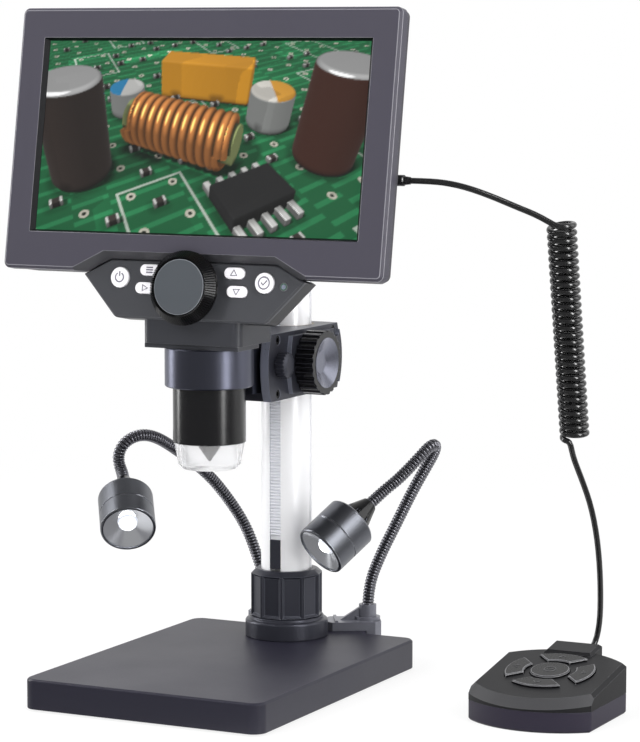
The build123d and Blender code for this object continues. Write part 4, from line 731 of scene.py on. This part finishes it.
def make_lens_barrel():
    """Lens barrel with the long dark cone of its front lens mount, seen through the clear tip."""
    barrel = copied("lens_carrier")
    with editing():
        bpy.ops.mesh.bisect(plane_co=(0, 0, CONE_TOP * MM), plane_no=(0, 0, 1))
    for vertex in barrel.data.vertices:
        share = (vertex.co.z / MM - CONE_TIP) / (CONE_TOP - CONE_TIP)
        if share < 0.99:
            vertex.co.xy = OPTIC_AXIS + (vertex.co.xy - OPTIC_AXIS) * max(share, CONE_TIP_SHARE)
    coat(barrel, LENS_BLACK)
    smooth(barrel)
    stand_in(barrel, "lens_carrier")


make_lens_barrel()
# The neck block's rounded edges take the lighter grey of a painted highlight.
softened("neck_block", 0.5, NECK, PANEL_EDGE_HIGHLIGHT)


# ---------------- screen head
def make_bezel():
    """Bezel with a black sunk edge round the screen and a dark recess round the control panel."""
    # The rounded edges take the lighter grey of a painted highlight.
    bezel = softened("screen_bezel", 0.5, BEZEL, BEZEL_EDGE_HIGHLIGHT)
    bezel.data.materials.append(REVEAL)
    bezel.data.materials.append(RECESS)
    for face in bezel.data.polygons:
        place = (face.center - HEAD_ORIGIN) / MM
        across = abs(place.x)
        up = place.dot(HEAD_UP)
        sunk = place.dot(HEAD_OUT) < -0.1
        if sunk and across < REVEAL_HALF[0] and abs(up - PICTURE_RISE) < REVEAL_HALF[1]:
            face.material_index = 2
        elif sunk and across < RECESS_HALF and up < -RECESS_TOP:
            face.material_index = 3


make_bezel()
softened("screen_back", 0.8, BACK_SHELL)
paint("screen_screws", BLACK_METAL)
paint("battery", BATTERY)
paint("circuit_boards", BOARD)
# The panel's rounded edges take the lighter grey of a painted highlight.
softened("control_panel", 0.4, PANEL, PANEL_EDGE_HIGHLIGHT)
softened("control_shell", 0.8, PANEL_SHELL)
paint("lcd_panel", KNOB)
softened("focus_dial", 0.4, DIAL)
for button_name in ("power", "accept", "menu", "play", "left", "right"):
    softened(f"button_{button_name}", 0.3, BUTTON)
paint("cord_plug", CORD)


# ---------------- lit picture: a made-up circuit board
PICTURE_COLUMNS = 300
PICTURE_ROWS = 160
PICTURE_SAMPLES = 2


def unit(vectors):
    """Vectors at length one."""
    return vectors / np.linalg.norm(vectors, axis=-1, keepdims=True)


def turned(points, degrees, center):
    """Points in the own frame of a part that stands at center, turned about the vertical."""
    angle = math.radians(degrees)
    x = points[:, 0] - center[0]
    y = points[:, 1] - center[1]
    return np.stack([x * math.cos(angle) + y * math.sin(angle), y * math.cos(angle) - x * math.sin(angle),
                     points[:, 2] - center[2]], axis=1)


def box_distance(points, half, rounding):
    """Distance to a rounded block about the origin."""
    q = np.abs(points) - (np.array(half) - rounding)
    return np.linalg.norm(np.maximum(q, 0), axis=1) + np.minimum(q.max(axis=1), 0) - rounding


def can_distance(points, radius, height, rounding):
    """Distance to an upright round can that stands on the origin."""
    across = np.hypot(points[:, 0], points[:, 1]) - radius + rounding
    along = np.abs(points[:, 2] - height / 2) - height / 2 + rounding
    outside = np.hypot(np.maximum(across, 0), np.maximum(along, 0))
    return outside + np.minimum(np.maximum(across, along), 0) - rounding


def coil_distance(points, radius, wire, turns, pitch):
    """Distance to a coil of thick wire about the x axis."""
    around = np.arctan2(points[:, 2], points[:, 1]) / (2 * math.pi)
    across = np.hypot(points[:, 1], points[:, 2]) - radius
    step = points[:, 0] / pitch - around
    nearest = np.clip(np.round(step), -turns / 2, turns / 2)
    along = (step - nearest) * pitch
    return (np.hypot(across, along) - wire) * 0.8


BOARD_TURN = 28
CELL = 1.5
COIL = (-0.2, 0.5, 0.98)
COIL_TURN = -24
# Place, radius, height and rounding of the tall, the round, the small and the brown can.
CANS = (((-3.7, -0.6, 0.0), 1.05, 3.3, 0.16), ((3.6, 2.6, 0.0), 0.95, 1.5, 0.14),
        ((-3.0, 3.6, 0.0), 0.8, 1.2, 0.12), ((5.3, 0.3, 0.0), 1.1, 3.4, 0.16))
CHIP = (2.3, -1.9, 0.0)
LEG_PITCH = 0.5
FILM_BLOCK = (0.8, 5.2, 0.9)
FILM_BLOCK_TURN = -12
BOARD_PARTS = ("board", "coil", "coil core", "tall can", "round can", "small can", "brown can", "chip",
               "chip leg", "film block", "small chip")
# Colour, gloss and metal of each part.
PART_LOOKS = {
    "coil": ((0.95, 0.36, 0.10), 1.0, 1.0),
    "coil core": ((0.36, 0.42, 0.16), 0.2, 0.0),
    "tall can": ((0.045, 0.03, 0.025), 0.5, 0.0),
    "round can": ((0.62, 0.64, 0.62), 0.8, 1.0),
    "small can": ((0.62, 0.64, 0.62), 0.8, 1.0),
    "brown can": ((0.075, 0.022, 0.012), 0.5, 0.0),
    "chip": ((0.02, 0.02, 0.021), 0.25, 0.0),
    "chip leg": ((0.72, 0.72, 0.7), 0.9, 1.0),
    "film block": ((0.85, 0.38, 0.02), 0.25, 0.0),
    "small chip": ((0.05, 0.04, 0.035), 0.3, 0.0),
}


def board_parts(points):
    """Distance to each part on the board, one row each, in the order of BOARD_PARTS."""
    rows = [points[:, 2]]
    coil = turned(points, COIL_TURN, COIL)
    rows.append(coil_distance(coil, 0.82, 0.15, 11, 0.34))
    rows.append(np.maximum(np.hypot(coil[:, 1], coil[:, 2]) - 0.66, np.abs(coil[:, 0]) - 2.25))
    for place, radius, height, rounding in CANS:
        rows.append(can_distance(turned(points, 0, place), radius, height, rounding))
    chip = turned(points, BOARD_TURN, CHIP)
    rows.append(box_distance(chip - np.array([0, 0, 0.32]), (1.15, 0.72, 0.26), 0.05))
    leg = chip.copy()
    leg[:, 0] -= LEG_PITCH * np.clip(np.round(leg[:, 0] / LEG_PITCH), -2, 2)
    leg[:, 1] = np.abs(leg[:, 1]) - 0.92
    leg[:, 2] -= 0.14
    rows.append(box_distance(leg, (0.11, 0.3, 0.12), 0.03))
    rows.append(box_distance(turned(points, FILM_BLOCK_TURN, FILM_BLOCK), (2.3, 0.7, 0.9), 0.12))
    small = turned(points, BOARD_TURN, (0, 0, 0.11))
    cell = np.round(small[:, :2] / CELL)
    wanted = np.sin(cell[:, 0] * 12.9898 + cell[:, 1] * 78.233) * 43758.5453 % 1 < 0.45
    small[:, :2] -= cell * CELL
    rows.append(np.where(wanted, box_distance(small, (0.2, 0.11, 0.1), 0.02), 0.45))
    return np.stack(rows)


def nearest_part(points):
    """Least distance at each point."""
    return board_parts(points).min(axis=0)


def board_color(points):
    """Solder mask with lighter tracks, white outlines and bright pads."""
    spot = turned(points, BOARD_TURN, (0, 0, 0))
    x = spot[:, 0]
    y = spot[:, 1]
    color = np.tile(np.array([0.012, 0.16, 0.055]), (len(points), 1))
    wave = np.abs((y + 0.35 * np.round(np.sin(x * 0.9))) % 0.7 - 0.35)
    color[wave < 0.09] = (0.03, 0.3, 0.11)
    field = np.floor(x / 3.0) + 2 * np.floor(y / 4.5)
    outline = np.maximum(np.abs(x % 3.0 - 1.5) - 1.15, np.abs(y % 4.5 - 2.25) - 1.8)
    color[(np.abs(outline) < 0.045) & (field % 3 == 0)] = (0.62, 0.72, 0.62)
    pads = np.hypot(np.abs(x % CELL - CELL / 2), np.abs(y % CELL - CELL / 2))
    color[pads < 0.16] = (0.75, 0.72, 0.6)
    color[pads < 0.07] = (0.02, 0.03, 0.02)
    return color


def studio(directions):
    """Brightness that shiny parts reflect: pale above, a soft lamp, darker below."""
    up = directions[:, 2]
    lamp = unit(np.array([[-0.45, -0.2, 0.85]]))[0]
    glow = np.clip((directions @ lamp - 0.82) / 0.12, 0, 1)
    return 0.10 + 0.35 * np.clip(up + 0.15, 0, 1) + 1.5 * glow


def part_finish(part, points):
    """Colour and shine of each hit point, and whether it is metal."""
    color = board_color(points)
    shine = np.full(len(points), 0.15)
    metal = np.zeros(len(points))

    def give(mask, value, gloss, metallic):
        color[mask] = value
        shine[mask] = gloss
        metal[mask] = metallic

    def above(name, height):
        return (part == BOARD_PARTS.index(name)) & (points[:, 2] > height)

    for name, look in PART_LOOKS.items():
        give(part == BOARD_PARTS.index(name), *look)
    give(above("tall can", 3.2), (0.5, 0.5, 0.5), 0.6, 1.0)
    give(above("brown can", 3.3), (0.5, 0.5, 0.5), 0.6, 1.0)
    give(above("round can", 1.42), (0.75, 0.72, 0.66), 0.2, 0.0)
    give(above("round can", 1.42) & (points[:, 0] > 3.6), (0.75, 0.36, 0.04), 0.2, 0.0)
    give(above("small can", 1.12), (0.72, 0.72, 0.7), 0.2, 0.0)
    give(above("small can", 1.12) & (points[:, 0] < -3.1), (0.03, 0.3, 0.6), 0.2, 0.0)
    along = turned(points, BOARD_TURN, (0, 0, 0))[:, 0]
    ends = np.abs((along + CELL / 2) % CELL - CELL / 2) > 0.12
    give((part == BOARD_PARTS.index("small chip")) & ends, (0.75, 0.75, 0.72), 0.8, 1.0)
    return color, shine, metal


def march(origins, directions, steps, reach):
    """Distance along each ray to the first part, by steps of the free distance."""
    travelled = np.zeros(len(origins))
    for _ in range(steps):
        gap = nearest_part(origins + directions * travelled[:, None])
        travelled = np.minimum(travelled + gap, reach)
    return travelled


def surface_normals(points):
    """Direction in which the distance to the parts grows fastest."""
    slopes = []
    for offset in np.eye(3) * 0.004:
        slopes.append(nearest_part(points + offset) - nearest_part(points - offset))
    return unit(np.stack(slopes, axis=1) + 1e-9)


def sun_share(points, sun):
    """How much of the sun reaches each point, from 0 to 1."""
    share = np.ones(len(points))
    travelled = np.full(len(points), 0.04)
    for _ in range(24):
        gap = nearest_part(points + sun * travelled[:, None])
        share = np.minimum(share, np.clip(6 * gap / travelled, 0, 1))
        travelled += np.clip(gap, 0.04, 0.6)
    return share


def board_picture():
    """Close-up of a made-up circuit board, as rows of colours from the top."""
    columns = PICTURE_COLUMNS * PICTURE_SAMPLES
    rows = PICTURE_ROWS * PICTURE_SAMPLES
    across, up = np.meshgrid(np.linspace(-1, 1, columns), np.linspace(1, -1, rows) * rows / columns)
    eye = np.array([0.4, -8.6, 6.6])
    aim = unit(np.array([[0.15, 9.2, -6.0]]))[0]
    right = unit(np.cross(aim, [0, 0, 1])[None])[0]
    above = np.cross(right, aim)
    rays = unit(aim[None] * 1.75 + across.reshape(-1, 1) * right + up.reshape(-1, 1) * above)
    origins = np.tile(eye, (len(rays), 1))
    hits = origins + rays * march(origins, rays, 70, 30.0)[:, None]
    normals = surface_normals(hits)
    color, shine, metal = part_finish(board_parts(hits).argmin(axis=0), hits)
    sun = unit(np.array([[-0.5, -0.35, 0.8]]))[0]
    lift = hits + normals * 0.02
    open_sky = np.clip(nearest_part(lift + normals * 0.3) / 0.3, 0.15, 1)
    lit = np.clip(normals @ sun, 0, 1) * sun_share(lift, sun) * 1.25 + 0.35 * open_sky
    facing = (rays * normals).sum(axis=1)
    reflected = studio(rays - normals * (2 * facing)[:, None]) * (0.35 + 0.65 * open_sky)
    edge_gloss = 0.04 + 0.6 * np.clip(1 + facing, 0, 1) ** 4
    plain = color * lit[:, None] + (reflected * shine * edge_gloss)[:, None]
    shiny = color * (reflected * 1.5 + 0.25 * lit)[:, None]
    picture = np.where(metal[:, None] > 0.5, shiny, plain)
    cells = picture.reshape(PICTURE_ROWS, PICTURE_SAMPLES, PICTURE_COLUMNS, PICTURE_SAMPLES, 3)
    return np.clip(cells.mean(axis=(1, 3)), 0, 1)


def make_picture():
    """Sheet just above the screen's panel, painted with the picture point by point."""
    width, height = (side * MM for side in PICTURE_SIZE)
    last_column = PICTURE_COLUMNS - 1
    last_row = PICTURE_ROWS - 1
    bpy.ops.mesh.primitive_grid_add(x_subdivisions=last_column, y_subdivisions=last_row, size=1)
    sheet = just_made("screen_picture")
    sheet.scale = (width, height, 1)
    bake_place(sheet)
    places = np.empty(len(sheet.data.vertices) * 3)
    sheet.data.vertices.foreach_get("co", places)
    places = places.reshape(-1, 3)
    column = np.round((places[:, 0] / width + 0.5) * last_column).astype(int)
    row = np.round((0.5 - places[:, 1] / height) * last_row).astype(int)
    colors = np.ones((len(places), 4))
    colors[:, :3] = board_picture()[row, column]
    layer = sheet.data.color_attributes.new("picture", "FLOAT_COLOR", "POINT")
    layer.data.foreach_set("color", colors.reshape(-1))
    coat(sheet, PICTURE)
    bake_place(sheet, head_matrix(0, PICTURE_RISE, PICTURE_FACE))
    attach(sheet, "carriage", "screen_glass")


make_picture()


# ---------------- focusing dial
def make_dial_teeth():
    """Ring of raised teeth round the slope of the dial."""
    depth = DIAL_FACE_RISE - DIAL_LOW
    radii = (DIAL_LOW_RADIUS - 0.25, DIAL_FACE_RADIUS + 0.9)
    ring = open_cone("dial_teeth", radii, depth, 2 * DIAL_TEETH)

    def is_tooth(face):
        turn = math.atan2(face.center.y, face.center.x) / math.pi * DIAL_TEETH
        return math.floor(turn) % 2 == 0

    inset_faces(ring, is_tooth, TOOTH_TAPER, TOOTH_HEIGHT)
    # The gaps between the teeth take the darker colour of painted shade.
    coat(ring, DIAL_GAP_SHADE, DIAL)
    finish_faces(ring, lambda face: face.select, 1)
    bake_place(ring, head_matrix(*DIAL_CENTER, DIAL_LOW + depth / 2))
    attach(ring, "dial", "panel_plastic")


def make_dial_face():
    """Flat cap of the dial, in the panel's grey, with a bright rim round it that is a painted highlight."""
    for name, radius, low, thickness, finish in (
            ("dial_rim_highlight", DIAL_FACE_RADIUS + 0.7, DIAL_FACE_RISE - 0.3, 0.55, DIAL_RIM_HIGHLIGHT),
            ("dial_cap", DIAL_FACE_RADIUS + 0.45, DIAL_FACE_RISE, 0.4, DIAL_FACE)):
        bpy.ops.mesh.primitive_cylinder_add(vertices=96, radius=radius * MM, depth=thickness * MM)
        disc = just_made(name)
        round_edges(disc, 0.15)
        coat(disc, finish)
        bake_place(disc, head_matrix(*DIAL_CENTER, low + thickness / 2))
        smooth(disc)
        attach(disc, "dial", "panel_plastic")


make_dial_teeth()
make_dial_face()


# ---------------- marks on the buttons
def line_mark(name, strokes, width, matrix, finish, body):
    """Thin raised lines as one piece, in millimetres; a stroke that ends where it starts is closed."""
    data = bpy.data.curves.new(name, "CURVE")
    data.dimensions = "3D"
    data.bevel_depth = width / 2 * MM
    data.bevel_resolution = 1
    data.use_fill_caps = True
    for stroke in strokes:
        closed = stroke[0] == stroke[-1]
        points = stroke[:-1] if closed else stroke
        spline = data.splines.new("POLY")
        spline.points.add(len(points) - 1)
        for target, (x, y) in zip(spline.points, points):
            target.co = (x * MM, y * MM, 0, 1)
        spline.use_cyclic_u = closed
    choose(linked(name, data))
    bpy.ops.object.convert(target="MESH")
    mark = just_made(name)
    coat(mark, finish)
    bake_place(mark, matrix)
    attach(mark, body, "panel_plastic")


def arc(radius, start, end, steps=18):
    """Points along an arc about the middle, angles in degrees."""
    angles = [math.radians(start + (end - start) * step / steps) for step in range(steps + 1)]
    return [(radius * math.cos(angle), radius * math.sin(angle)) for angle in angles]


def ring_stroke(radius):
    """Closed circle."""
    points = arc(radius, 0, 340, 17)
    return points + [points[0]]


PANEL_MARK_WIDTH = 0.56
REMOTE_MARK_WIDTH = 0.42
TICK_IN_RING = [ring_stroke(2.6), [(-1.3, 0.1), (-0.4, -0.9), (1.4, 1.1)]]
PANEL_MARKS = {
    "power": ((-35.5, -60.0), [arc(2.0, 120, 420), [(0, 0.5), (0, 2.6)]]),
    "accept": ((35.5, -60.0), TICK_IN_RING),
    "menu": ((-20.7, -56.3), [[(-1.6, height), (1.6, height)] for height in (1.1, 0, -1.1)]),
    "left": ((-22.5, -64.2), [[(-1.1, -1.3), (1.4, 0), (-1.1, 1.3), (-1.1, -1.3)]]),
    "play": ((20.7, -56.3), [[(-1.5, -1.0), (1.5, -1.0), (0, 1.4), (-1.5, -1.0)]]),
    "right": ((22.5, -64.2), [[(-1.5, 1.0), (1.5, 1.0), (0, -1.4), (-1.5, 1.0)]]),
}
for button_name, (spot, strokes) in PANEL_MARKS.items():
    line_mark(f"mark_{button_name}", strokes, PANEL_MARK_WIDTH, head_matrix(*spot, BUTTON_FACE), ICON,
              f"button_{button_name}")


def make_indicator():
    """Small domed lens over the panel's light, in its ring."""
    place = head_matrix(*INDICATOR_SPOT, PANEL_FACE + 0.1)
    dome = flat_dome("indicator_lens", INDICATOR_RADIUS, 0.35, 24, INDICATOR, place)
    attach(dome, "carriage", "white_plastic")
    ring_radius, ring_wire = INDICATOR_RING
    bpy.ops.mesh.primitive_torus_add(major_radius=ring_radius * MM, minor_radius=ring_wire * MM,
                                     major_segments=32, minor_segments=8)
    ring = just_made("indicator_ring")
    # The ring takes the grey of the panel's painted edge highlight.
    coat(ring, PANEL_EDGE_HIGHLIGHT)
    bpy.ops.object.shade_smooth()
    bake_place(ring, head_matrix(*INDICATOR_SPOT, PANEL_FACE))
    attach(ring, "carriage", "panel_plastic")


make_indicator()


# ---------------- remote
def make_remote_top():
    """Remote's top shell, whose front slope is painted lighter: a painted sheen of the light that slope
    catches.
    """
    shell = softened("remote_top", 0.6, REMOTE, REMOTE_EDGE_HIGHLIGHT)
    shell.data.materials.append(REMOTE_BROW_SHEEN)

    def is_brow(face):
        sloping = face.normal.y < BROW_FRONT and BROW_LEAST_RISE < face.normal.z < BROW_MOST_RISE
        return face.material_index == 0 and sloping and face.center.y < REMOTE_PAD.y

    finish_faces(shell, is_brow, 2)


softened("remote_bottom", 0.6, REMOTE_SHELL)
make_remote_top()
for button_name in ("center", "right", "back", "left", "front"):
    # The buttons' rounded edges take the light grey of a painted highlight.
    softened(f"remote_button_{button_name}", 0.2, REMOTE_BUTTON, REMOTE_EDGE_HIGHLIGHT)


def pad_matrix(x, y):
    """Placement on a button of the remote's sloping top, in millimetres from the middle of the buttons."""
    up = Vector((0, math.cos(REMOTE_SLOPE), math.sin(REMOTE_SLOPE)))
    out = Vector((0, -math.sin(REMOTE_SLOPE), math.cos(REMOTE_SLOPE)))
    origin = REMOTE_PAD + (HEAD_RIGHT * x + up * y + out * REMOTE_BUTTON_FACE) * MM
    return placement(origin, HEAD_RIGHT, out)


REMOTE_MARKS = {
    "center": ((0, 0), TICK_IN_RING),
    "right": ((REMOTE_PAD_RADIUS, 0), [[(-0.9, -1.5), (1.1, 0), (-0.9, 1.5)]]),
    "left": ((-REMOTE_PAD_RADIUS, 0), [[(0.9, -1.5), (-1.1, 0), (0.9, 1.5)]]),
    "back": ((0, REMOTE_PAD_RADIUS), [[(-1.5, -0.9), (0, 1.1), (1.5, -0.9)]]),
    "front": ((0, -REMOTE_PAD_RADIUS), [[(-1.5, 0.9), (0, -1.1), (1.5, 0.9)]]),
}
for button_name, (spot, strokes) in REMOTE_MARKS.items():
    line_mark(f"remote_mark_{button_name}", strokes, REMOTE_MARK_WIDTH, pad_matrix(*spot), MARK,
              f"remote_button_{button_name}")


# ---------------- lamps
def lamp_matrix(side_name, along):
    """Placement on a lamp's axis, along millimetres from its arm's end towards the light."""
    before, end = (Vector(point) for point in ARM_ROUTES[side_name][-2:])
    aim = (end - before).normalized()
    level = Vector((-aim.y, aim.x, 0)).normalized()
    return placement((end + aim * along) * MM, level, aim)


def make_arm(side_name):
    """Wound metal hose: a dark core with one ring for each turn of the winding."""
    route = ARM_ROUTES[side_name]
    line = linked("arm_line", spline_curve("arm_line", route, 0.0))
    choose(linked("arm_core", spline_curve("arm_core", route, HOSE_CORE)))
    bpy.ops.object.convert(target="MESH")
    core = bpy.context.active_object
    coat(core, ARM_CORE)
    bpy.ops.object.select_all(action="DESELECT")
    bpy.ops.mesh.primitive_torus_add(major_radius=HOSE_RADIUS * MM, minor_radius=HOSE_WIRE * MM,
                                     major_segments=24, minor_segments=8, rotation=(0, math.pi / 2, 0))
    rings = just_made(f"arm_{side_name}")
    bake_place(rings)
    coat(rings, ARM)
    winding = rings.modifiers.new("winding", "ARRAY")
    winding.fit_type = "FIT_CURVE"
    winding.curve = line
    winding.use_relative_offset = False
    winding.use_constant_offset = True
    winding.constant_offset_displace = (HOSE_PITCH * MM, 0, 0)
    bend = rings.modifiers.new("bend", "CURVE")
    bend.object = line
    bend.deform_axis = "POS_X"
    apply_modifiers(rings)
    bpy.ops.object.shade_smooth()
    join_into(rings, core)
    bpy.data.objects.remove(line)
    attach(rings, f"lamp_{side_name}", "black_plastic", f"lamp_arm_{side_name}")


def make_reflector(side_name):
    """Polished bowl with a light in its middle, inside the lamp's rim."""
    body = f"lamp_{side_name}"
    depth = LAMP_RECESS - 0.9
    bowl = open_cone(f"reflector_{side_name}", REFLECTOR_RADII, depth, 48)
    with editing():
        bpy.ops.mesh.flip_normals()
    wall = bowl.modifiers.new("wall", "SOLIDIFY")
    wall.thickness = 0.3 * MM
    apply_modifiers(bowl)
    bpy.ops.object.shade_smooth_by_angle(angle=math.radians(ROUND_ANGLE))
    # The bowl's faint emission is a painted glow.
    coat(bowl, REFLECTOR)
    bake_place(bowl, lamp_matrix(side_name, LAMP_FACE - LAMP_RECESS + 0.1 + depth / 2))
    attach(bowl, body, "lamp_metal")
    place = lamp_matrix(side_name, LAMP_FACE - LAMP_RECESS + 0.4)
    dome = flat_dome(f"light_{side_name}", LIGHT_RADIUS, 0.7, 32, LED, place)
    attach(dome, body, "led_white")


for side_name in ("right", "left"):
    # The clip's rounded edges are painted lighter: a painted highlight.
    softened(f"lamp_clip_{side_name}", 0.5, CLIP, PLATE_EDGE_HIGHLIGHT)
    # The neck's rounded edges are painted lighter: a painted highlight.
    softened(f"lamp_neck_{side_name}", 0.3, KNOB, CASTING_EDGE_HIGHLIGHT)
    # The head's rounded edges take the brighter metal of a painted highlight.
    softened(f"lamp_head_{side_name}", 0.4, LAMP, LAMP_EDGE_HIGHLIGHT)
    paint(f"lamp_light_{side_name}", LED_BODY)
    make_arm(side_name)
    make_reflector(side_name)


# ---------------- floor, world and lights
DARK_SIDE = (0.26, -0.966, 0.0)
FLOOR_MIDDLE = (0.06, -0.1, 0.0)
AMBIENT = 0.32
# Name, place, aim, size, watts, and whether glossy surfaces show it.
LIGHTS = (
    ("key", (-0.6, -1.5, 1.3), (0, 0, 0.15), (0.5, 0.9), 15, False),
    ("front", (-0.75, -0.75, 1.0), (0, 0, 0.15), (0.12, 0.5), 1.0, True),
    ("right strip", (0.85, -0.27, 0.5), (0, 0, 0.3), (0.16, 1.0), 5.5, True),
    ("right wall", (1.2, 0.6, 0.7), (0, 0, 0.3), (0.7, 1.5), 5, True),
    ("left strip", (-0.9, -0.08, 0.5), (0, 0, 0.3), (0.16, 1.0), 5.5, True),
    ("fill", (1.1, -1.1, 0.9), (0, 0, 0.15), (0.6, 0.9), 4.5, False),
    ("top", (0.0, 0.1, 1.7), (0, 0, 0.1), (1.2, 1.2), 15, False),
)


def surroundings_group():
    """Brightness of the room by direction: white behind the object, dim in front of it."""
    group, source, target = new_group("surroundings", [("Vector", "NodeSocketVector", None)],
                                      [("Value", "NodeSocketFloat")])
    level = node(group, "ShaderNodeVectorMath", [(0, source.outputs[0])], operation="NORMALIZE")
    facing = node(group, "ShaderNodeVectorMath", [(0, level.outputs[0]), (1, DARK_SIDE)],
                  operation="DOT_PRODUCT")
    dimmed = map_range(group, facing.outputs["Value"], -0.95, -0.25, 1.0, 0.2)
    group.links.new(dimmed, target.inputs["Value"])
    return group


SURROUNDINGS = surroundings_group()


def seen_strength(tree, vector, otherwise):
    """White where it is seen straight or through glass, dimmed by direction in reflections."""
    path = node(tree, "ShaderNodeLightPath").outputs
    dimmed = node(tree, "ShaderNodeGroup", [("Vector", vector)], node_tree=SURROUNDINGS)
    glossy = node(tree, "ShaderNodeMix", [(0, path["Is Glossy Ray"]), (2, otherwise),
                                          (3, dimmed.outputs["Value"])])
    straight = math_node(tree, "MAXIMUM", path["Is Camera Ray"], path["Is Transmission Ray"])
    strength = math_node(tree, "MAXIMUM", glossy.outputs[0], straight)
    return strength, straight, path["Is Glossy Ray"]


def make_stage():
    """Pale floor that keeps the object's shadow and turns plain white away from it."""
    bpy.ops.mesh.primitive_plane_add(size=12, location=(0, 0, 0))
    floor = just_made("floor")
    made, tree, shader = shader_material("floor")
    set_sockets(shader, Base_Color=(0.9, 0.9, 0.9, 1), Roughness=0.9, Specular_IOR_Level=0.0)
    place = node(tree, "ShaderNodeTexCoord").outputs["Object"]
    shifted = node(tree, "ShaderNodeVectorMath", [(0, place), (1, FLOOR_MIDDLE)], operation="SUBTRACT")
    strength, straight, glossy = seen_strength(tree, shifted.outputs[0], 0.0)
    white = node(tree, "ShaderNodeEmission", [("Strength", strength)])
    distance = node(tree, "ShaderNodeVectorMath", [(0, place)], operation="LENGTH")
    fade = map_range(tree, distance.outputs["Value"], 0.22, 0.8, 0.82, 1.0)
    share = math_node(tree, "MAXIMUM", math_node(tree, "MULTIPLY", fade, straight), glossy)
    mixed = node(tree, "ShaderNodeMixShader", [(0, share), (1, shader.outputs[0]), (2, white.outputs[0])])
    tree.links.new(mixed.outputs[0], tree.nodes["Material Output"].inputs["Surface"])
    coat(floor, made)


def area_light(name, place, aim, size, power, mirrored):
    """Soft rectangular lamp at place, pointing at aim."""
    data = bpy.data.lights.new(name, "AREA")
    data.shape = "RECTANGLE"
    data.size, data.size_y = size
    data.energy = power
    light = linked(name, data)
    light.location = place
    light.rotation_euler = (Vector(aim) - Vector(place)).to_track_quat("-Z", "Y").to_euler()
    light.visible_glossy = mirrored


def make_world():
    """White surroundings where they are seen; glossy surfaces see them darker towards the front."""
    world = bpy.data.worlds.new("studio")
    world.use_nodes = True
    tree = world.node_tree
    background = tree.nodes["Background"]
    background.inputs["Color"].default_value = (1, 1, 1, 1)
    place = node(tree, "ShaderNodeTexCoord")
    strength = seen_strength(tree, place.outputs["Generated"], AMBIENT)[0]
    tree.links.new(strength, background.inputs["Strength"])
    bpy.context.scene.world = world
    bpy.context.scene.view_settings.view_transform = "Standard"


make_stage()
make_world()
for light_facts in LIGHTS:
    area_light(*light_facts)
